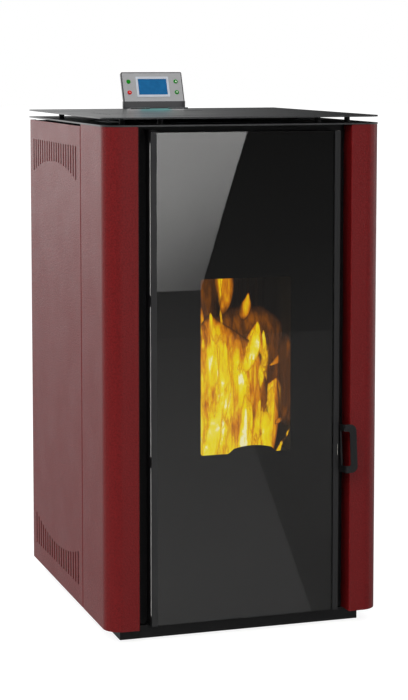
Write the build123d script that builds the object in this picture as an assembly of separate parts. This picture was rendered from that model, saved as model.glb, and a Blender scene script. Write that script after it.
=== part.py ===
from build123d import *
import os
from math import cos, radians, sin

# Pellet stove, millimetres. X to the right, Y to the back, Z up; the floor is Z = 0.

# ---------------------------------------------------------------- driving dimensions
# Casing
casing_width = 580
casing_depth = 644
casing_height = 1000
casing_lift = 30            # underside of the casing above the floor
sheet = 1.5                 # casing panels
plate_steel = 3.0           # firebox walls
frame_steel = 2.0           # front frame, door pan, brackets
fold_radius = 3.0
flange_width = 14
column_depth = 194          # from the front to the seam with the rear side panel
column_front = 67           # width of a column's flat front with its corner
column_corner = 36
recess_depth = 43           # front frame behind the column fronts
panel_seam_gap = 1.0
panel_top_gap = 4.5         # side panel below the top of the columns
rear_screw_radius = 4.0

# Vents in the side panels
vent_count = 19
vent_pitch = 20.8
vent_width = 8
vent_top_edge = 46          # straight end of the upper group, below the casing top
vent_bottom_edge = 40       # straight end of the lower group, above the casing bottom
vent_outer_length = 70
vent_arch_rise = 29

# Plinth and feet
plinth_setback = 35
plinth_rear_setback = 20
plinth_floor_gap = 3.6
foot_radius = 22
foot_pad_height = 8
foot_stem_radius = 5
foot_inset = 45

# Top plates
plate_thickness = 3
plate_overhang = 1
plate_rear_overhang = 2
post_height = 12
post_radius = 5.8
wave_pitch = 25
wave_chord = 19
wave_rise = 4.5
wave_slot_width = 3.2
wave_front_count = 16
wave_side_count = 6
wave_front_y = 115          # rows measured from the casing front
wave_side_inset = 62
wave_side_y = 215
air_slot_width = 36
air_slot_length = 180

# Door
door_side_gap = 24.3        # from a column to the door
door_height = 982
door_bottom_gap = 6         # above the casing bottom
door_depth = 41
channel_lip = 12
channel_depth = 12
glass_thickness = 4
enamel_thickness = 0.3
tape_thickness = 0.8
side_slot_end = 20
side_slot_bridge = 22
side_slot_depth = 5.5
window_half_width = 95
window_bottom = 373.6       # above the floor
window_height = 353.6
window_corner = 5
arch_left = -37             # black bump in the window's lower edge
arch_right = 64
arch_height = 15
pan_window_margin = 10
rope_radius = 4.8
rope_margin = 12            # rope centre line outside the frame opening
rope_corner = 30
rope_gap = 0.4
hinge_inset = 8             # hinge axis from the door's left edge
hinge_setback = 17          # hinge axis from the door's front
hinge_bush_radius = 6.4
hinge_bush_length = 14
hinge_pin_radius = 4
hinge_lug = 4
running_gap = 0.05
body_gap = 0.3

# Handle
handle_plate = 3
handle_height = 98
handle_border = 14
handle_side_depth = 38      # from the back leg's rear edge to the folded grip
handle_grip_width = 26
handle_corner = 13
handle_lean = 6             # degrees
handle_pivot_inset = 22     # pivot behind the casing front
handle_pivot_z = 370
handle_pivot_radius = 4
handle_side_gap = 2
grip_stand = 52             # pivot to the grip's outer face
strike_radius = 4
strike_back = 34
strike_drop = 14

# Display
display_width = 144.5
display_height = 73.3
display_tilt = 22
display_depth = 8
display_back_depth = 10
bracket_half = 50
bracket_leg = 50            # down the rear panel from the casing top
bracket_arm = 55            # up the housing's back
chin_width = 147
chin_height = 14.2
screen_width = 68.3
screen_height = 38.4
bezel_width = 78.3
bezel_height = 49.5
screen_y = 37.4
button_x = 56.2
button_low = 24
button_high = 50.3
button_radius = 4.9
button_gap = 0.3

# Firebox
mouth_side_overlap = 38.7   # door beyond the mouth on each side
mouth_bottom = 215
mouth_top = 800
mouth_corner = 15
firebox_depth = 300
grate_height = 330
pot_y = 245                 # burn pot centre behind the casing front
pot_width = 104
pot_length = 94
pot_taper = 8
pot_wall = 5
pot_above = 45
pot_below = 28
pot_rim = 8
baffle_below_roof = 72
baffle_thickness = 18
liner_depth = 14
liner_pitch = 20
fin_count = 9
fin_side_gap = 32           # outer fins inside the firebox walls
fin_height = 76
igniter_radius = 6
igniter_z = 350
drawer_side_gap = 25
drawer_height = 76
drawer_length = 250
drawer_front = 54

# Feed
auger_tube_radius = 35
auger_tube_wall = 2
auger_length = 250
auger_angle = 45
auger_low_y = 545
auger_low_z = 335
auger_radius = 30
auger_shaft_radius = 8
auger_pitch = 60
gearmotor_radius = 38
chute_radius = 30
chute_wall = 2
chute_along = 225           # where the chute leaves the auger, from its lower end
chute_end_y = 325
neck_along = 59             # where the hopper's neck meets the auger
hopper_half_width = 155
hopper_front = 428
hopper_rear = 602
hopper_funnel_top = 700
hopper_neck_top = 520
neck_half = 28
hopper_wall = 1.5

# Lid
lid_gap = 1.5
lid_rim = 3
lid_hinge_x = 45
lid_knuckle_radius = 3.2
lid_pin_radius = 1.6
lid_knuckle_length = 24
plate_knuckle_length = 10
finger_slot_x = 8
finger_slot_length = 90
finger_slot_width = 12

# Smoke path
duct_width = 80
motor_side_gap = 18         # smoke-fan motor inside the side panel
duct_depth = 40
duct_box_rear = 505
duct_box_bottom = 110
duct_box_top = 250
fan_y = 445
fan_z = 180
fan_radius = 80
fan_thickness = 70
fan_outlet_length = 115
fan_inlet_radius = 40
wheel_radius = 66
wheel_blades = 10
smoke_motor_radius = 42
smoke_motor_length = 50
spigot_radius = 40
spigot_wall = 1.5
spigot_reach = 50
intake_radius = 25
intake_x = -90
intake_z = 265
intake_reach = 42
stop_gap = 0.5              # stop rings of both pipes, behind the casing
stop_thickness = 2

# Room air fan
drum_radius = 30
drum_end_gap = 6
fan_left_gap = 31           # inside the stand's left plate
fan_right_gap = 23
room_motor_length = 38
drum_y = 150
drum_z = 112
drum_blades = 20

# Electrics
socket_inset = 90
socket_z = 110
switch_pitch = 40
rocker_swing = 8            # degrees each side of level
board_side_gap = 24
board_setback = 420
board_length = 170
board_top = 240
board_height = 150
board_stand = 8
board_margin = 10

# ---------------------------------------------------------------- places derived from them
handle_reach = (grip_stand * cos(radians(handle_lean)) - handle_pivot_inset
                + handle_height / 2 * sin(radians(handle_lean)))
front = handle_reach - (casing_depth + handle_reach + spigot_reach) / 2
back = front + casing_depth
half = casing_width / 2
bottom = casing_lift
top = casing_lift + casing_height
seam = front + column_depth
plinth_half_width = half - plinth_setback
wave_side_x = half - wave_side_inset
column_inner = half - column_front
frame_y = front + recess_depth
frame_back = frame_y + frame_steel
chassis_top = bottom + frame_steel

lower_top = top + plate_thickness
upper_bottom = lower_top + post_height
upper_top = upper_bottom + plate_thickness

door_half = column_inner - door_side_gap
door_bottom = bottom + door_bottom_gap
door_top = door_bottom + door_height
door_back = front + door_depth
pan_half = door_half - sheet
glass_front = front + sheet + tape_thickness
glass_back = glass_front + glass_thickness
enamel_back = glass_back + enamel_thickness
pan_front = enamel_back + 2 * tape_thickness
glass_half = pan_half - tape_thickness - 0.1
hinge_x = -door_half + hinge_inset
hinge_y = front + hinge_setback
pivot_y = front + handle_pivot_inset
handle_x = door_half + handle_side_gap

rope_y = frame_y - rope_gap - rope_radius
strike_y = pivot_y + strike_back
strike_z = handle_pivot_z - strike_drop

firebox_front = frame_back
firebox_back = frame_back + firebox_depth
mouth_half_width = door_half - mouth_side_overlap
firebox_half = mouth_half_width + plate_steel
grate_top = grate_height + plate_steel
baffle_height = mouth_top - baffle_below_roof
fin_pitch = 2 * (mouth_half_width - fin_side_gap) / (fin_count - 1)
drawer_half_width = mouth_half_width - drawer_side_gap
stand_inner = firebox_half - 2 - frame_steel

fan_left = fan_left_gap - stand_inner
fan_right = stand_inner - fan_right_gap - room_motor_length
drum_length = fan_right - fan_left - 2 * (drum_end_gap + frame_steel)
drum_x = (fan_left + fan_right) / 2

hopper_y0 = front + hopper_front
hopper_y1 = front + hopper_rear
lid_y0 = hopper_y0 - lid_rim
lid_y1 = hopper_y1 + lid_rim
lid_half = hopper_half_width + lid_rim
hinge_line_y = lid_y1 + lid_gap / 2

duct_right = half - motor_side_gap - smoke_motor_length - fan_thickness
duct_left = duct_right - duct_width
flue_x = duct_right + fan_thickness / 2
flue_z = fan_z - fan_radius + 35

socket_x = socket_inset - half
switch_x = socket_x + switch_pitch

display_y = back - 3
display_z = upper_top + chin_height


# ---------------------------------------------------------------- helpers
def block(x0, x1, y0, y1, z0, z1):
    """A box between two corners."""
    centre = ((x0 + x1) / 2, (y0 + y1) / 2, (z0 + z1) / 2)
    return Pos(*centre) * Box(abs(x1 - x0), abs(y1 - y0), abs(z1 - z0))


def rod(radius, start, direction, length):
    """A cylinder that starts at a point and runs along a direction."""
    plane = Plane(origin=start, z_dir=direction)
    return plane * Cylinder(radius, length, align=(Align.CENTER, Align.CENTER, Align.MIN))


def pipe(radius, wall, start, direction, length):
    """A tube that starts at a point and runs along a direction."""
    bore = rod(radius - wall, start, direction, length)
    return rod(radius, start, direction, length) - bore


def front_panel(width, height, radius, x, z, y0, y1):
    """A rounded rectangle seen from the front, between two depths."""
    plane = Plane(origin=(x, y0, z), x_dir=(1, 0, 0), z_dir=(0, 1, 0))
    return extrude(plane * RectangleRounded(width, height, radius), y1 - y0)


def front_ring(width, height, radius, wall, x, z, y0, y1):
    """A rounded rectangular ring seen from the front; the wall lies outside the given size."""
    outer = front_panel(width + 2 * wall, height + 2 * wall, radius + wall, x, z, y0, y1)
    return outer - front_panel(width, height, radius, x, z, y0, y1)


def folded(points, radii, thickness, side, z0, z1):
    """Sheet metal folded along a path seen from above, standing from z0 to z1."""
    path = FilletPolyline(*points, radius=radii)
    outline = make_face(offset(path, amount=thickness, side=side).edges())
    solid = extrude(outline, z1 - z0)
    return Pos(0, 0, z0 - solid.bounding_box().min.Z) * solid


def folded_side(points, radii, thickness, side, x0, x1):
    """Sheet metal folded along a path seen from the side (y, z), between x0 and x1."""
    plane = Plane(origin=(x0, 0, 0), x_dir=(0, 1, 0), z_dir=(1, 0, 0))
    path = FilletPolyline(*points, radius=radii)
    outline = make_face(offset(path, amount=thickness, side=side).edges())
    return extrude(plane * outline, x1 - x0)


def mirrored(shape):
    """The right-hand copy of a left-hand piece, and the other way round."""
    return mirror(shape, Plane.YZ)


def save(name, shape):
    """Write one sub-part, as one solid or as a group of separate solids."""
    solids = shape.solids()
    whole = solids[0] if len(solids) == 1 else Compound(children=list(solids))
    whole.label = name
    export_step(whole, f"parts/{name}.step")


# ---------------------------------------------------------------- casing
def corner_column():
    """Right column: flange at the seam, side, rounded corner, front, return beside the front frame."""
    points = [
        (half - flange_width, seam),
        (half, seam),
        (half, front),
        (column_inner, front),
        (column_inner, frame_back + 20),
    ]
    radii = [fold_radius, column_corner, fold_radius]
    return folded(points, radii, sheet, Side.RIGHT, bottom, top)


def vent_slots():
    """The two arched groups of slots in the right side panel."""
    middle = (seam + panel_seam_gap + back) / 2
    reach = vent_pitch * (vent_count - 1) / 2
    cuts = []
    for index in range(vent_count):
        offset_y = index * vent_pitch - reach
        arch = vent_arch_rise * (1 - (offset_y / reach) ** 2)
        length = vent_outer_length - arch
        y0 = middle + offset_y - vent_width / 2
        upper = top - vent_top_edge
        lower = bottom + vent_bottom_edge
        cuts.append(block(half - 10, half + 10, y0, y0 + vent_width, upper - length, upper))
        cuts.append(block(half - 10, half + 10, y0, y0 + vent_width, lower, lower + length))
    return cuts


def side_panel():
    """Right rear side panel with its vents, folded inwards front and back."""
    y0 = seam + panel_seam_gap
    points = [(half - flange_width, y0), (half, y0), (half, back), (half - flange_width, back)]
    radii = [fold_radius, fold_radius]
    panel = folded(points, radii, sheet, Side.LEFT, bottom, top - panel_top_gap)
    return panel - vent_slots()


def front_frame():
    """Black sheet between the columns with the firebox mouth and the latch slot."""
    edge = column_inner
    plate = block(-edge, edge, frame_y, frame_back, bottom, top)
    for sign in (-1, 1):
        plate += block(sign * (edge - frame_steel), sign * edge, frame_y, frame_back + 18, bottom, top)
    height = mouth_top - mouth_bottom
    middle = (mouth_top + mouth_bottom) / 2
    plate -= front_panel(2 * mouth_half_width, height, mouth_corner, 0, middle, frame_y - 1, frame_back + 1)
    slot_width = handle_plate + 10
    slot_x = handle_x + handle_plate / 2 + 2
    plate -= front_panel(slot_width, 48, 3, slot_x, handle_pivot_z, frame_y - 1, frame_back + 1)
    return plate


def plinth():
    """Skirt of folded sheet, set back under the casing, with a flange that carries the chassis."""
    y0 = front + plinth_setback
    y1 = back - plinth_rear_setback
    w = plinth_half_width
    z0 = plinth_floor_gap
    skirt = block(-w, w, y0, y1, z0, bottom)
    skirt -= block(-w + frame_steel, w - frame_steel, y0 + frame_steel, y1 - frame_steel,
                   z0 - 1, bottom - frame_steel)
    rim = 40
    skirt -= block(-w + rim, w - rim, y0 + rim, y1 - rim, z0, bottom + 1)
    skirt = fillet(skirt.edges().filter_by(Axis.Z).group_by(Axis.Y)[0].sort_by(Axis.X)[0], 1.5)
    for x, y in foot_places():
        skirt -= rod(foot_stem_radius + 0.1, (x, y, z0), (0, 0, 1), bottom)
    return skirt


def foot_places():
    """The four levelling feet, inset from the plinth's corners."""
    x = plinth_half_width - foot_inset
    y0 = front + plinth_setback + foot_inset
    y1 = back - plinth_rear_setback - foot_inset
    return [(-x, y0), (x, y0), (-x, y1), (x, y1)]


def levelling_feet():
    """Round pads on threaded stems; the nut under the flange carries the plinth."""
    feet = []
    for x, y in foot_places():
        foot = rod(foot_radius, (x, y, 0), (0, 0, 1), foot_pad_height)
        foot = chamfer(foot.edges().group_by(Axis.Z)[-1], 2.5)
        foot += rod(foot_stem_radius, (x, y, 0), (0, 0, 1), bottom + 12)
        nut_top = bottom - frame_steel
        nut = extrude(Pos(x, y, nut_top - 8) * RegularPolygon(9, 6), 8)
        feet.append(foot + nut)
    return Compound(children=feet)


def chassis_base():
    """Floor plate that carries the stove's inside, with an edge folded up all round."""
    x = half - flange_width - 1
    y0 = frame_back + 22
    y1 = back - 2 * sheet - 0.5
    tray = block(-x, x, y0, y1, bottom, bottom + 22)
    tray -= block(-x + frame_steel, x - frame_steel, y0 + frame_steel, y1 - frame_steel,
                  chassis_top, bottom + 30)
    apron = block(-column_inner + 4, column_inner - 4, frame_back, y0, bottom, chassis_top)
    tray += apron
    for x, y in foot_places():
        tray -= rod(foot_stem_radius + 0.5, (x, y, bottom - 1), (0, 0, 1), 10)
    for side in (-1, 1):
        for row in range(5):
            y = front + 130 + 32 * row
            slot = Pos(side * 190, y, bottom) * SlotOverall(60, 10)
            tray -= extrude(slot, frame_steel * 2)
    return tray


def rear_panel():
    """Back cover with the flue, air, mains and cooling openings."""
    x = half - fold_radius - 1
    y0 = back - 2 * sheet
    y1 = back - sheet
    panel = block(-x, x, y0, y1, bottom + 1, top - panel_top_gap - 1)
    panel -= rod(spigot_radius + 1.5, (flue_x, y0 - 1, flue_z), (0, 1, 0), 5)
    panel -= rod(intake_radius + 1.5, (intake_x, y0 - 1, intake_z), (0, 1, 0), 5)
    panel -= block(socket_x - 14.2, socket_x + 14.2, y0 - 1, y1 + 1, socket_z - 10.7, socket_z + 10.7)
    panel -= block(switch_x - 7.2, switch_x + 7.2, y0 - 1, y1 + 1, socket_z - 10.7, socket_z + 10.7)
    face = Plane(origin=(0, y0 - 1, 0), x_dir=(1, 0, 0), z_dir=(0, 1, 0))
    for column in (-1, 0, 1):
        for row in range(8):
            z = 430 + 16 * row
            slot = face * Pos(column * 85, -z, 0) * SlotOverall(64, 6)
            panel -= extrude(slot, 5)
    return panel


def plate_outline(z, thickness):
    """Top plate blank: square at the back, rounded at the front corners."""
    x = half + plate_overhang
    y0 = front - plate_overhang
    y1 = back + plate_rear_overhang
    blank = block(-x, x, y0, y1, z, z + thickness)
    corners = blank.edges().filter_by(Axis.Z).group_by(Axis.Y)[0]
    blank = fillet(corners, column_corner + plate_overhang)
    notch = bracket_half + 1
    return blank - block(-notch, notch, back - sheet - 0.7, y1 + 1, z - 1, z + thickness + 1)


def lower_plate():
    """Plate that closes the casing, with warm-air openings and the hopper opening."""
    plate = plate_outline(top, plate_thickness)
    clear = 0.5
    plate -= block(-hopper_half_width - clear, hopper_half_width + clear, hopper_y0 - clear,
                   hopper_y1 + clear, top - 1, lower_top + 1)
    front_slot = Pos(0, front + wave_front_y, top) * SlotOverall(380, air_slot_width)
    plate -= extrude(front_slot, plate_thickness)
    for sign in (-1, 1):
        place = Pos(sign * (wave_side_x - 8), front + wave_side_y + 62, top)
        slot = place * Rot(0, 0, 90) * SlotOverall(air_slot_length, air_slot_width)
        plate -= extrude(slot, plate_thickness)
    return plate


def wave_slot():
    """One small curved slot, lying along X."""
    radius = (wave_chord ** 2 / 4 + wave_rise ** 2) / (2 * wave_rise)
    start = (-wave_chord / 2, 0)
    crown = (0, -wave_rise)
    end = (wave_chord / 2, 0)
    inner = ThreePointArc(start, crown, end)
    scale = (radius + wave_slot_width) / radius
    drop = radius - wave_rise
    outer_points = [((x) * scale, (y - drop) * scale + drop) for x, y in (start, crown, end)]
    outer = ThreePointArc(*outer_points)
    caps = [Line(start, outer_points[0]), Line(end, outer_points[2])]
    return make_face([inner.edge(), outer.edge(), caps[0].edge(), caps[1].edge()])


def upper_plate():
    """Raised plate with rows of curved slots along the front and both sides, and the lid opening."""
    plate = plate_outline(upper_bottom, plate_thickness)
    slots = []
    for index in range(wave_front_count):
        x = (index - (wave_front_count - 1) / 2) * wave_pitch
        slots.append(Pos(x, front + wave_front_y, upper_bottom) * wave_slot())
    for sign in (-1, 1):
        for index in range(wave_side_count):
            y = front + wave_side_y + index * wave_pitch
            slots.append(Pos(sign * wave_side_x, y, upper_bottom) * Rot(0, 0, 90) * wave_slot())
    plate -= [extrude(slot, plate_thickness) for slot in slots]
    plate -= block(-lid_half - lid_gap, lid_half + lid_gap, lid_y0 - lid_gap, lid_y1 + lid_gap,
                   upper_bottom - 1, upper_top + 1)
    for sign in (-1, 1):
        x = sign * lid_hinge_x
        middle = lid_knuckle_length / 2
        gap = 1
        plate -= block(x - middle - gap, x + middle + gap, lid_y1, hinge_line_y + lid_knuckle_radius + gap,
                       upper_bottom - 1, upper_top + 1)
        for end in (-1, 1):
            start = x + end * (middle + gap) - (plate_knuckle_length if end < 0 else 0)
            knuckle = rod(lid_knuckle_radius, (start, hinge_line_y, upper_top), (1, 0, 0), plate_knuckle_length)
            web = block(start, start + plate_knuckle_length, hinge_line_y, lid_y1 + lid_gap + 2,
                        upper_bottom, upper_top)
            plate += knuckle + web
        length = lid_knuckle_length + 2 * plate_knuckle_length + 2 * gap
        plate -= rod(lid_pin_radius, (x - length / 2, hinge_line_y, upper_top), (1, 0, 0), length)
    return plate


def post_places():
    """Posts between the plates: front corners, beside the front slot, and rear sides."""
    right = [(238, front + 64), (166, front + 44), (262, front + 462)]
    return right + [(-x, y) for x, y in right]


def plate_posts():
    """Short round posts that carry the upper plate."""
    posts = []
    for x, y in post_places():
        post = rod(post_radius, (x, y, lower_top), (0, 0, 1), post_height)
        posts.append(post)
    return Compound(children=posts)


# ---------------------------------------------------------------- hopper lid
def hopper_lid():
    """Flush lid with a finger slot, two knuckles and a stiffening fold underneath."""
    lid = block(-lid_half, lid_half, lid_y0, lid_y1, upper_bottom + body_gap, upper_top)
    slot = Pos(finger_slot_x, lid_y0 + 22, upper_bottom) * SlotOverall(finger_slot_length, finger_slot_width)
    lid -= extrude(slot, plate_thickness * 2)
    for sign in (-1, 1):
        x = sign * lid_hinge_x
        middle = lid_knuckle_length / 2
        for end in (-1, 1):
            start = x + end * (middle + 1) - (plate_knuckle_length + 1 if end < 0 else 0)
            lid -= block(start, start + plate_knuckle_length + 1, hinge_line_y - lid_knuckle_radius - 1,
                         lid_y1 + 1, upper_bottom - 1, upper_top + 1)
        knuckle = rod(lid_knuckle_radius, (x - middle, hinge_line_y, upper_top), (1, 0, 0), lid_knuckle_length)
        web = block(x - middle, x + middle, lid_y1 - 1, hinge_line_y, upper_bottom + body_gap, upper_top)
        lid += knuckle + web
        lid -= rod(lid_pin_radius + running_gap, (x - 2 * middle, hinge_line_y, upper_top), (1, 0, 0),
                   2 * lid_knuckle_length)
    return lid


def lid_hinge_pins():
    """One pin through each lid hinge."""
    length = lid_knuckle_length + 2 * plate_knuckle_length + 2
    pins = []
    for sign in (-1, 1):
        start = (sign * lid_hinge_x - length / 2, hinge_line_y, upper_top)
        pins.append(rod(lid_pin_radius, start, (1, 0, 0), length))
    return Compound(children=pins)


# ---------------------------------------------------------------- door
def door_pan():
    """Folded pan behind the glass: window opening, rope channel and hinge bushes."""
    pan = block(-pan_half, pan_half, pan_front, door_back, door_bottom, door_top)
    pan -= block(-pan_half + frame_steel, pan_half - frame_steel, pan_front + frame_steel, door_back + 1,
                 door_bottom + frame_steel, door_top - frame_steel)
    window_z = window_bottom + window_height / 2
    width = 2 * (window_half_width + pan_window_margin)
    height = window_height + 2 * pan_window_margin
    pan -= front_panel(width, height, 12, 0, window_z, pan_front - 1, pan_front + frame_steel + 1)
    channel = 2 * rope_radius + 1
    wall = frame_steel
    middle = (mouth_top + mouth_bottom) / 2
    wide = 2 * (mouth_half_width + rope_margin)
    tall = mouth_top - mouth_bottom + 2 * rope_margin
    radius = rope_corner - channel / 2
    y0 = pan_front + frame_steel
    y1 = door_back - 1
    floor_y = rope_y - rope_radius
    pan += front_ring(wide - channel - 2 * wall, tall - channel - 2 * wall, radius - wall, wall,
                      0, middle, y0, y1)
    pan += front_ring(wide + channel, tall + channel, radius + channel, wall, 0, middle, y0, y1)
    pan += front_ring(wide - channel, tall - channel, radius, channel, 0, middle, floor_y - wall, floor_y)
    for z0 in (door_bottom, door_top - hinge_bush_length):
        pan += rod(hinge_bush_radius, (hinge_x, hinge_y, z0), (0, 0, 1), hinge_bush_length)
        pan -= rod(hinge_pin_radius + running_gap, (hinge_x, hinge_y, z0), (0, 0, 1), hinge_bush_length)
    pan -= rod(handle_pivot_radius, (pan_half - frame_steel, pivot_y, handle_pivot_z), (1, 0, 0), frame_steel)
    return pan


def glass_channel():
    """Right glass channel: front lip, side wall with three long slots, and the latch notch."""
    channel = block(pan_half, door_half, front, front + channel_depth, door_bottom, door_top)
    channel += block(door_half - channel_lip, door_half, front, front + sheet, door_bottom, door_top)
    channel = fillet(channel.edges().filter_by(Axis.Z).group_by(Axis.Y)[0].sort_by(Axis.X)[-1], 0.8)
    length = (door_height - 2 * side_slot_end - 2 * side_slot_bridge) / 3
    slot_y = front + sheet + 1
    for index in range(3):
        z0 = door_bottom + side_slot_end + index * (length + side_slot_bridge)
        channel -= block(pan_half - 1, door_half + 1, slot_y, slot_y + side_slot_depth, z0, z0 + length)
    return channel


def latch_notch(channel):
    """The small notch in the right channel beside the handle's pivot."""
    return channel - block(door_half - 3, door_half + 1, front - 1, front + sheet + 0.5,
                           handle_pivot_z - 12, handle_pivot_z + 11)


def door_glass():
    """Full-height pane of ceramic glass."""
    return block(-glass_half, glass_half, glass_front, glass_back, door_bottom, door_top)


def glass_enamel():
    """Black enamel baked on the back of the glass, left clear at the window."""
    layer = block(-glass_half, glass_half, glass_back, enamel_back, door_bottom, door_top)
    window_z = window_bottom + window_height / 2
    window = front_panel(2 * window_half_width, window_height, window_corner, 0, window_z,
                         glass_back, enamel_back)
    face = Plane(origin=(0, glass_back, 0), x_dir=(1, 0, 0), z_dir=(0, 1, 0))
    shoulder = arch_height * 0.35
    left = (arch_left, -window_bottom)
    right = (arch_right, -window_bottom)
    rise = ThreePointArc((arch_left + 12, -window_bottom - arch_height + shoulder),
                         ((arch_left + arch_right) / 2, -window_bottom - arch_height),
                         (arch_right - 10, -window_bottom - arch_height + shoulder))
    edges = [Line(left, rise @ 0), rise, Line(rise @ 1, right), Line(right, left)]
    bump = extrude(face * make_face([edge.edge() for edge in edges]), enamel_thickness)
    return layer - (window - bump)


def glass_tape():
    """Pale glass-fibre tape: folded round both long edges of the glass, and a ring at the window."""
    strips = []
    for sign in (-1, 1):
        strip = block(sign * (glass_half - 9), sign * pan_half, front + sheet, pan_front, door_bottom, door_top)
        strip -= block(sign * (glass_half - 10), sign * glass_half, glass_front, enamel_back,
                       door_bottom - 1, door_top + 1)
        strips.append(strip)
    width = 2 * (window_half_width + pan_window_margin) + 4
    height = window_height + 2 * pan_window_margin + 4
    window_z = window_bottom + window_height / 2
    strips.append(front_ring(width, height, 14, 9, 0, window_z, enamel_back, pan_front))
    return Compound(children=strips)


def rope_seal():
    """Round glass-fibre rope laid in the pan's channel."""
    wide = 2 * (mouth_half_width + rope_margin)
    tall = mouth_top - mouth_bottom + 2 * rope_margin
    middle = (mouth_top + mouth_bottom) / 2
    plane = Plane(origin=(0, rope_y, middle), x_dir=(1, 0, 0), z_dir=(0, 1, 0))
    path = (plane * RectangleRounded(wide, tall, rope_corner)).wire()
    section = Plane(origin=path @ 0, z_dir=path % 0) * Circle(rope_radius)
    return sweep(section, path=path)


def hinge_lugs():
    """Rounded lugs welded to the front frame above and below the door's left edge."""
    lugs = []
    width = hinge_inset + 10
    for z0 in (door_bottom - 1 - hinge_lug, door_top + 1):
        lug = block(hinge_x - width / 2, hinge_x + width / 2, hinge_y, frame_y, z0, z0 + hinge_lug)
        lug += rod(width / 2, (hinge_x, hinge_y, z0), (0, 0, 1), hinge_lug)
        lug -= rod(hinge_pin_radius, (hinge_x, hinge_y, z0), (0, 0, 1), hinge_lug)
        lugs.append(lug)
    return Compound(children=lugs)


def hinge_pins():
    """Pins fixed in the lugs, on which the door's bushes turn."""
    length = hinge_lug + 1 + hinge_bush_length - 2
    low = rod(hinge_pin_radius, (hinge_x, hinge_y, door_bottom - 1 - hinge_lug), (0, 0, 1), length)
    high = rod(hinge_pin_radius, (hinge_x, hinge_y, door_top + 1 + hinge_lug), (0, 0, -1), length)
    return Compound(children=[low, high])


# ---------------------------------------------------------------- handle and latch
def handle():
    """Flat steel loop folded once: finger loop, pivot ear and latch hook, leaning as it rests."""
    half_height = handle_height / 2
    border = handle_border
    side_back = -(grip_stand - handle_side_depth)
    side = Plane(origin=(handle_x, 0, 0), x_dir=(0, 1, 0), z_dir=(1, 0, 0))
    loop = side * Pos((side_back - grip_stand) / 2, 0) * Rectangle(handle_side_depth, handle_height)
    loop = extrude(loop, handle_plate)
    grip = block(handle_x, handle_x + handle_grip_width, -grip_stand, -grip_stand + handle_plate,
                 -half_height, half_height)
    corners = grip.edges().filter_by(Axis.Y).group_by(Axis.X)[-1]
    grip = fillet(corners, handle_corner)
    loop = fillet(loop.edges().filter_by(Axis.X).group_by(Axis.Y)[-1], 4)
    body = loop + grip
    fold = body.edges().filter_by(Axis.Z).group_by(Axis.Y)[0].sort_by(Axis.X)[0]
    body = fillet(fold, handle_plate + 1)
    reach = handle_x + handle_grip_width - border
    opening = block(handle_x - 1, reach, -grip_stand - 1, side_back - border,
                    -half_height + border, half_height - border)
    opening = fillet(opening.edges().filter_by(Axis.Y).group_by(Axis.X)[-1], 4)
    body -= opening
    body += extrude(side * Pos(-7, 0) * SlotCenterToCenter(14, 24), handle_plate)
    pin_y, pin_z = strike_in_handle()
    arm_z0 = pin_z + strike_radius + 7.9
    lip_y0 = pin_y + strike_radius + 1.3
    arm = block(handle_x, handle_x + handle_plate, 0, lip_y0 + 6.4, arm_z0, arm_z0 + 10.5)
    lip = block(handle_x, handle_x + handle_plate, lip_y0, lip_y0 + 6.4, arm_z0 - 5.9, arm_z0 + 1)
    body += arm + lip
    body -= rod(handle_pivot_radius + running_gap, (handle_x - 1, 0, 0), (1, 0, 0), handle_plate + 2)
    return Pos(0, pivot_y, handle_pivot_z) * Rot(-handle_lean, 0, 0) * body


def strike_in_handle():
    """The strike's place from the pivot, turned back by the handle's lean."""
    lean = radians(handle_lean)
    y = strike_back * cos(lean) + strike_drop * sin(lean)
    z = strike_back * sin(lean) - strike_drop * cos(lean)
    return y, z


def handle_bolt():
    """Shouldered bolt with a spacer collar that carries the handle on the door pan's side."""
    start = pan_half - frame_steel - 4
    bolt = rod(handle_pivot_radius, (start, pivot_y, handle_pivot_z), (1, 0, 0),
               handle_x + handle_plate + body_gap - start)
    bolt += rod(7.5, (pan_half, pivot_y, handle_pivot_z), (1, 0, 0), handle_x - body_gap - pan_half)
    head = rod(7.5, (handle_x + handle_plate + body_gap, pivot_y, handle_pivot_z), (1, 0, 0), 3.5)
    head = chamfer(head.edges().group_by(Axis.X)[-1], 1.2)
    nut = Plane(origin=(start, pivot_y, handle_pivot_z), z_dir=(1, 0, 0)) * RegularPolygon(7.5, 6)
    return bolt + head + extrude(nut, 4)


def strike():
    """Round strike pin between two ears of a bracket behind the front frame."""
    x0 = handle_x - 8
    x1 = handle_x + handle_plate + 9
    pin = rod(strike_radius, (x0 - 3, strike_y, strike_z), (1, 0, 0), x1 - x0 + 6)
    bracket = pin
    for x in (x0 - 2, x1):
        ear = block(x, x + 2, frame_back, strike_y + 8, strike_z - 9, strike_z + 9)
        bracket += ear
    return bracket


# ---------------------------------------------------------------- display
def display_plane():
    """The display's face: origin at the middle of its lower edge, leaning back."""
    tilt = radians(display_tilt)
    return Plane(origin=(0, display_y, display_z), x_dir=(1, 0, 0), z_dir=(0, -cos(tilt), sin(tilt)))


def face_block(x0, x1, y0, y1, z0, z1):
    """A box in the display's own frame."""
    return display_plane() * block(x0, x1, y0, y1, z0, z1)


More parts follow.
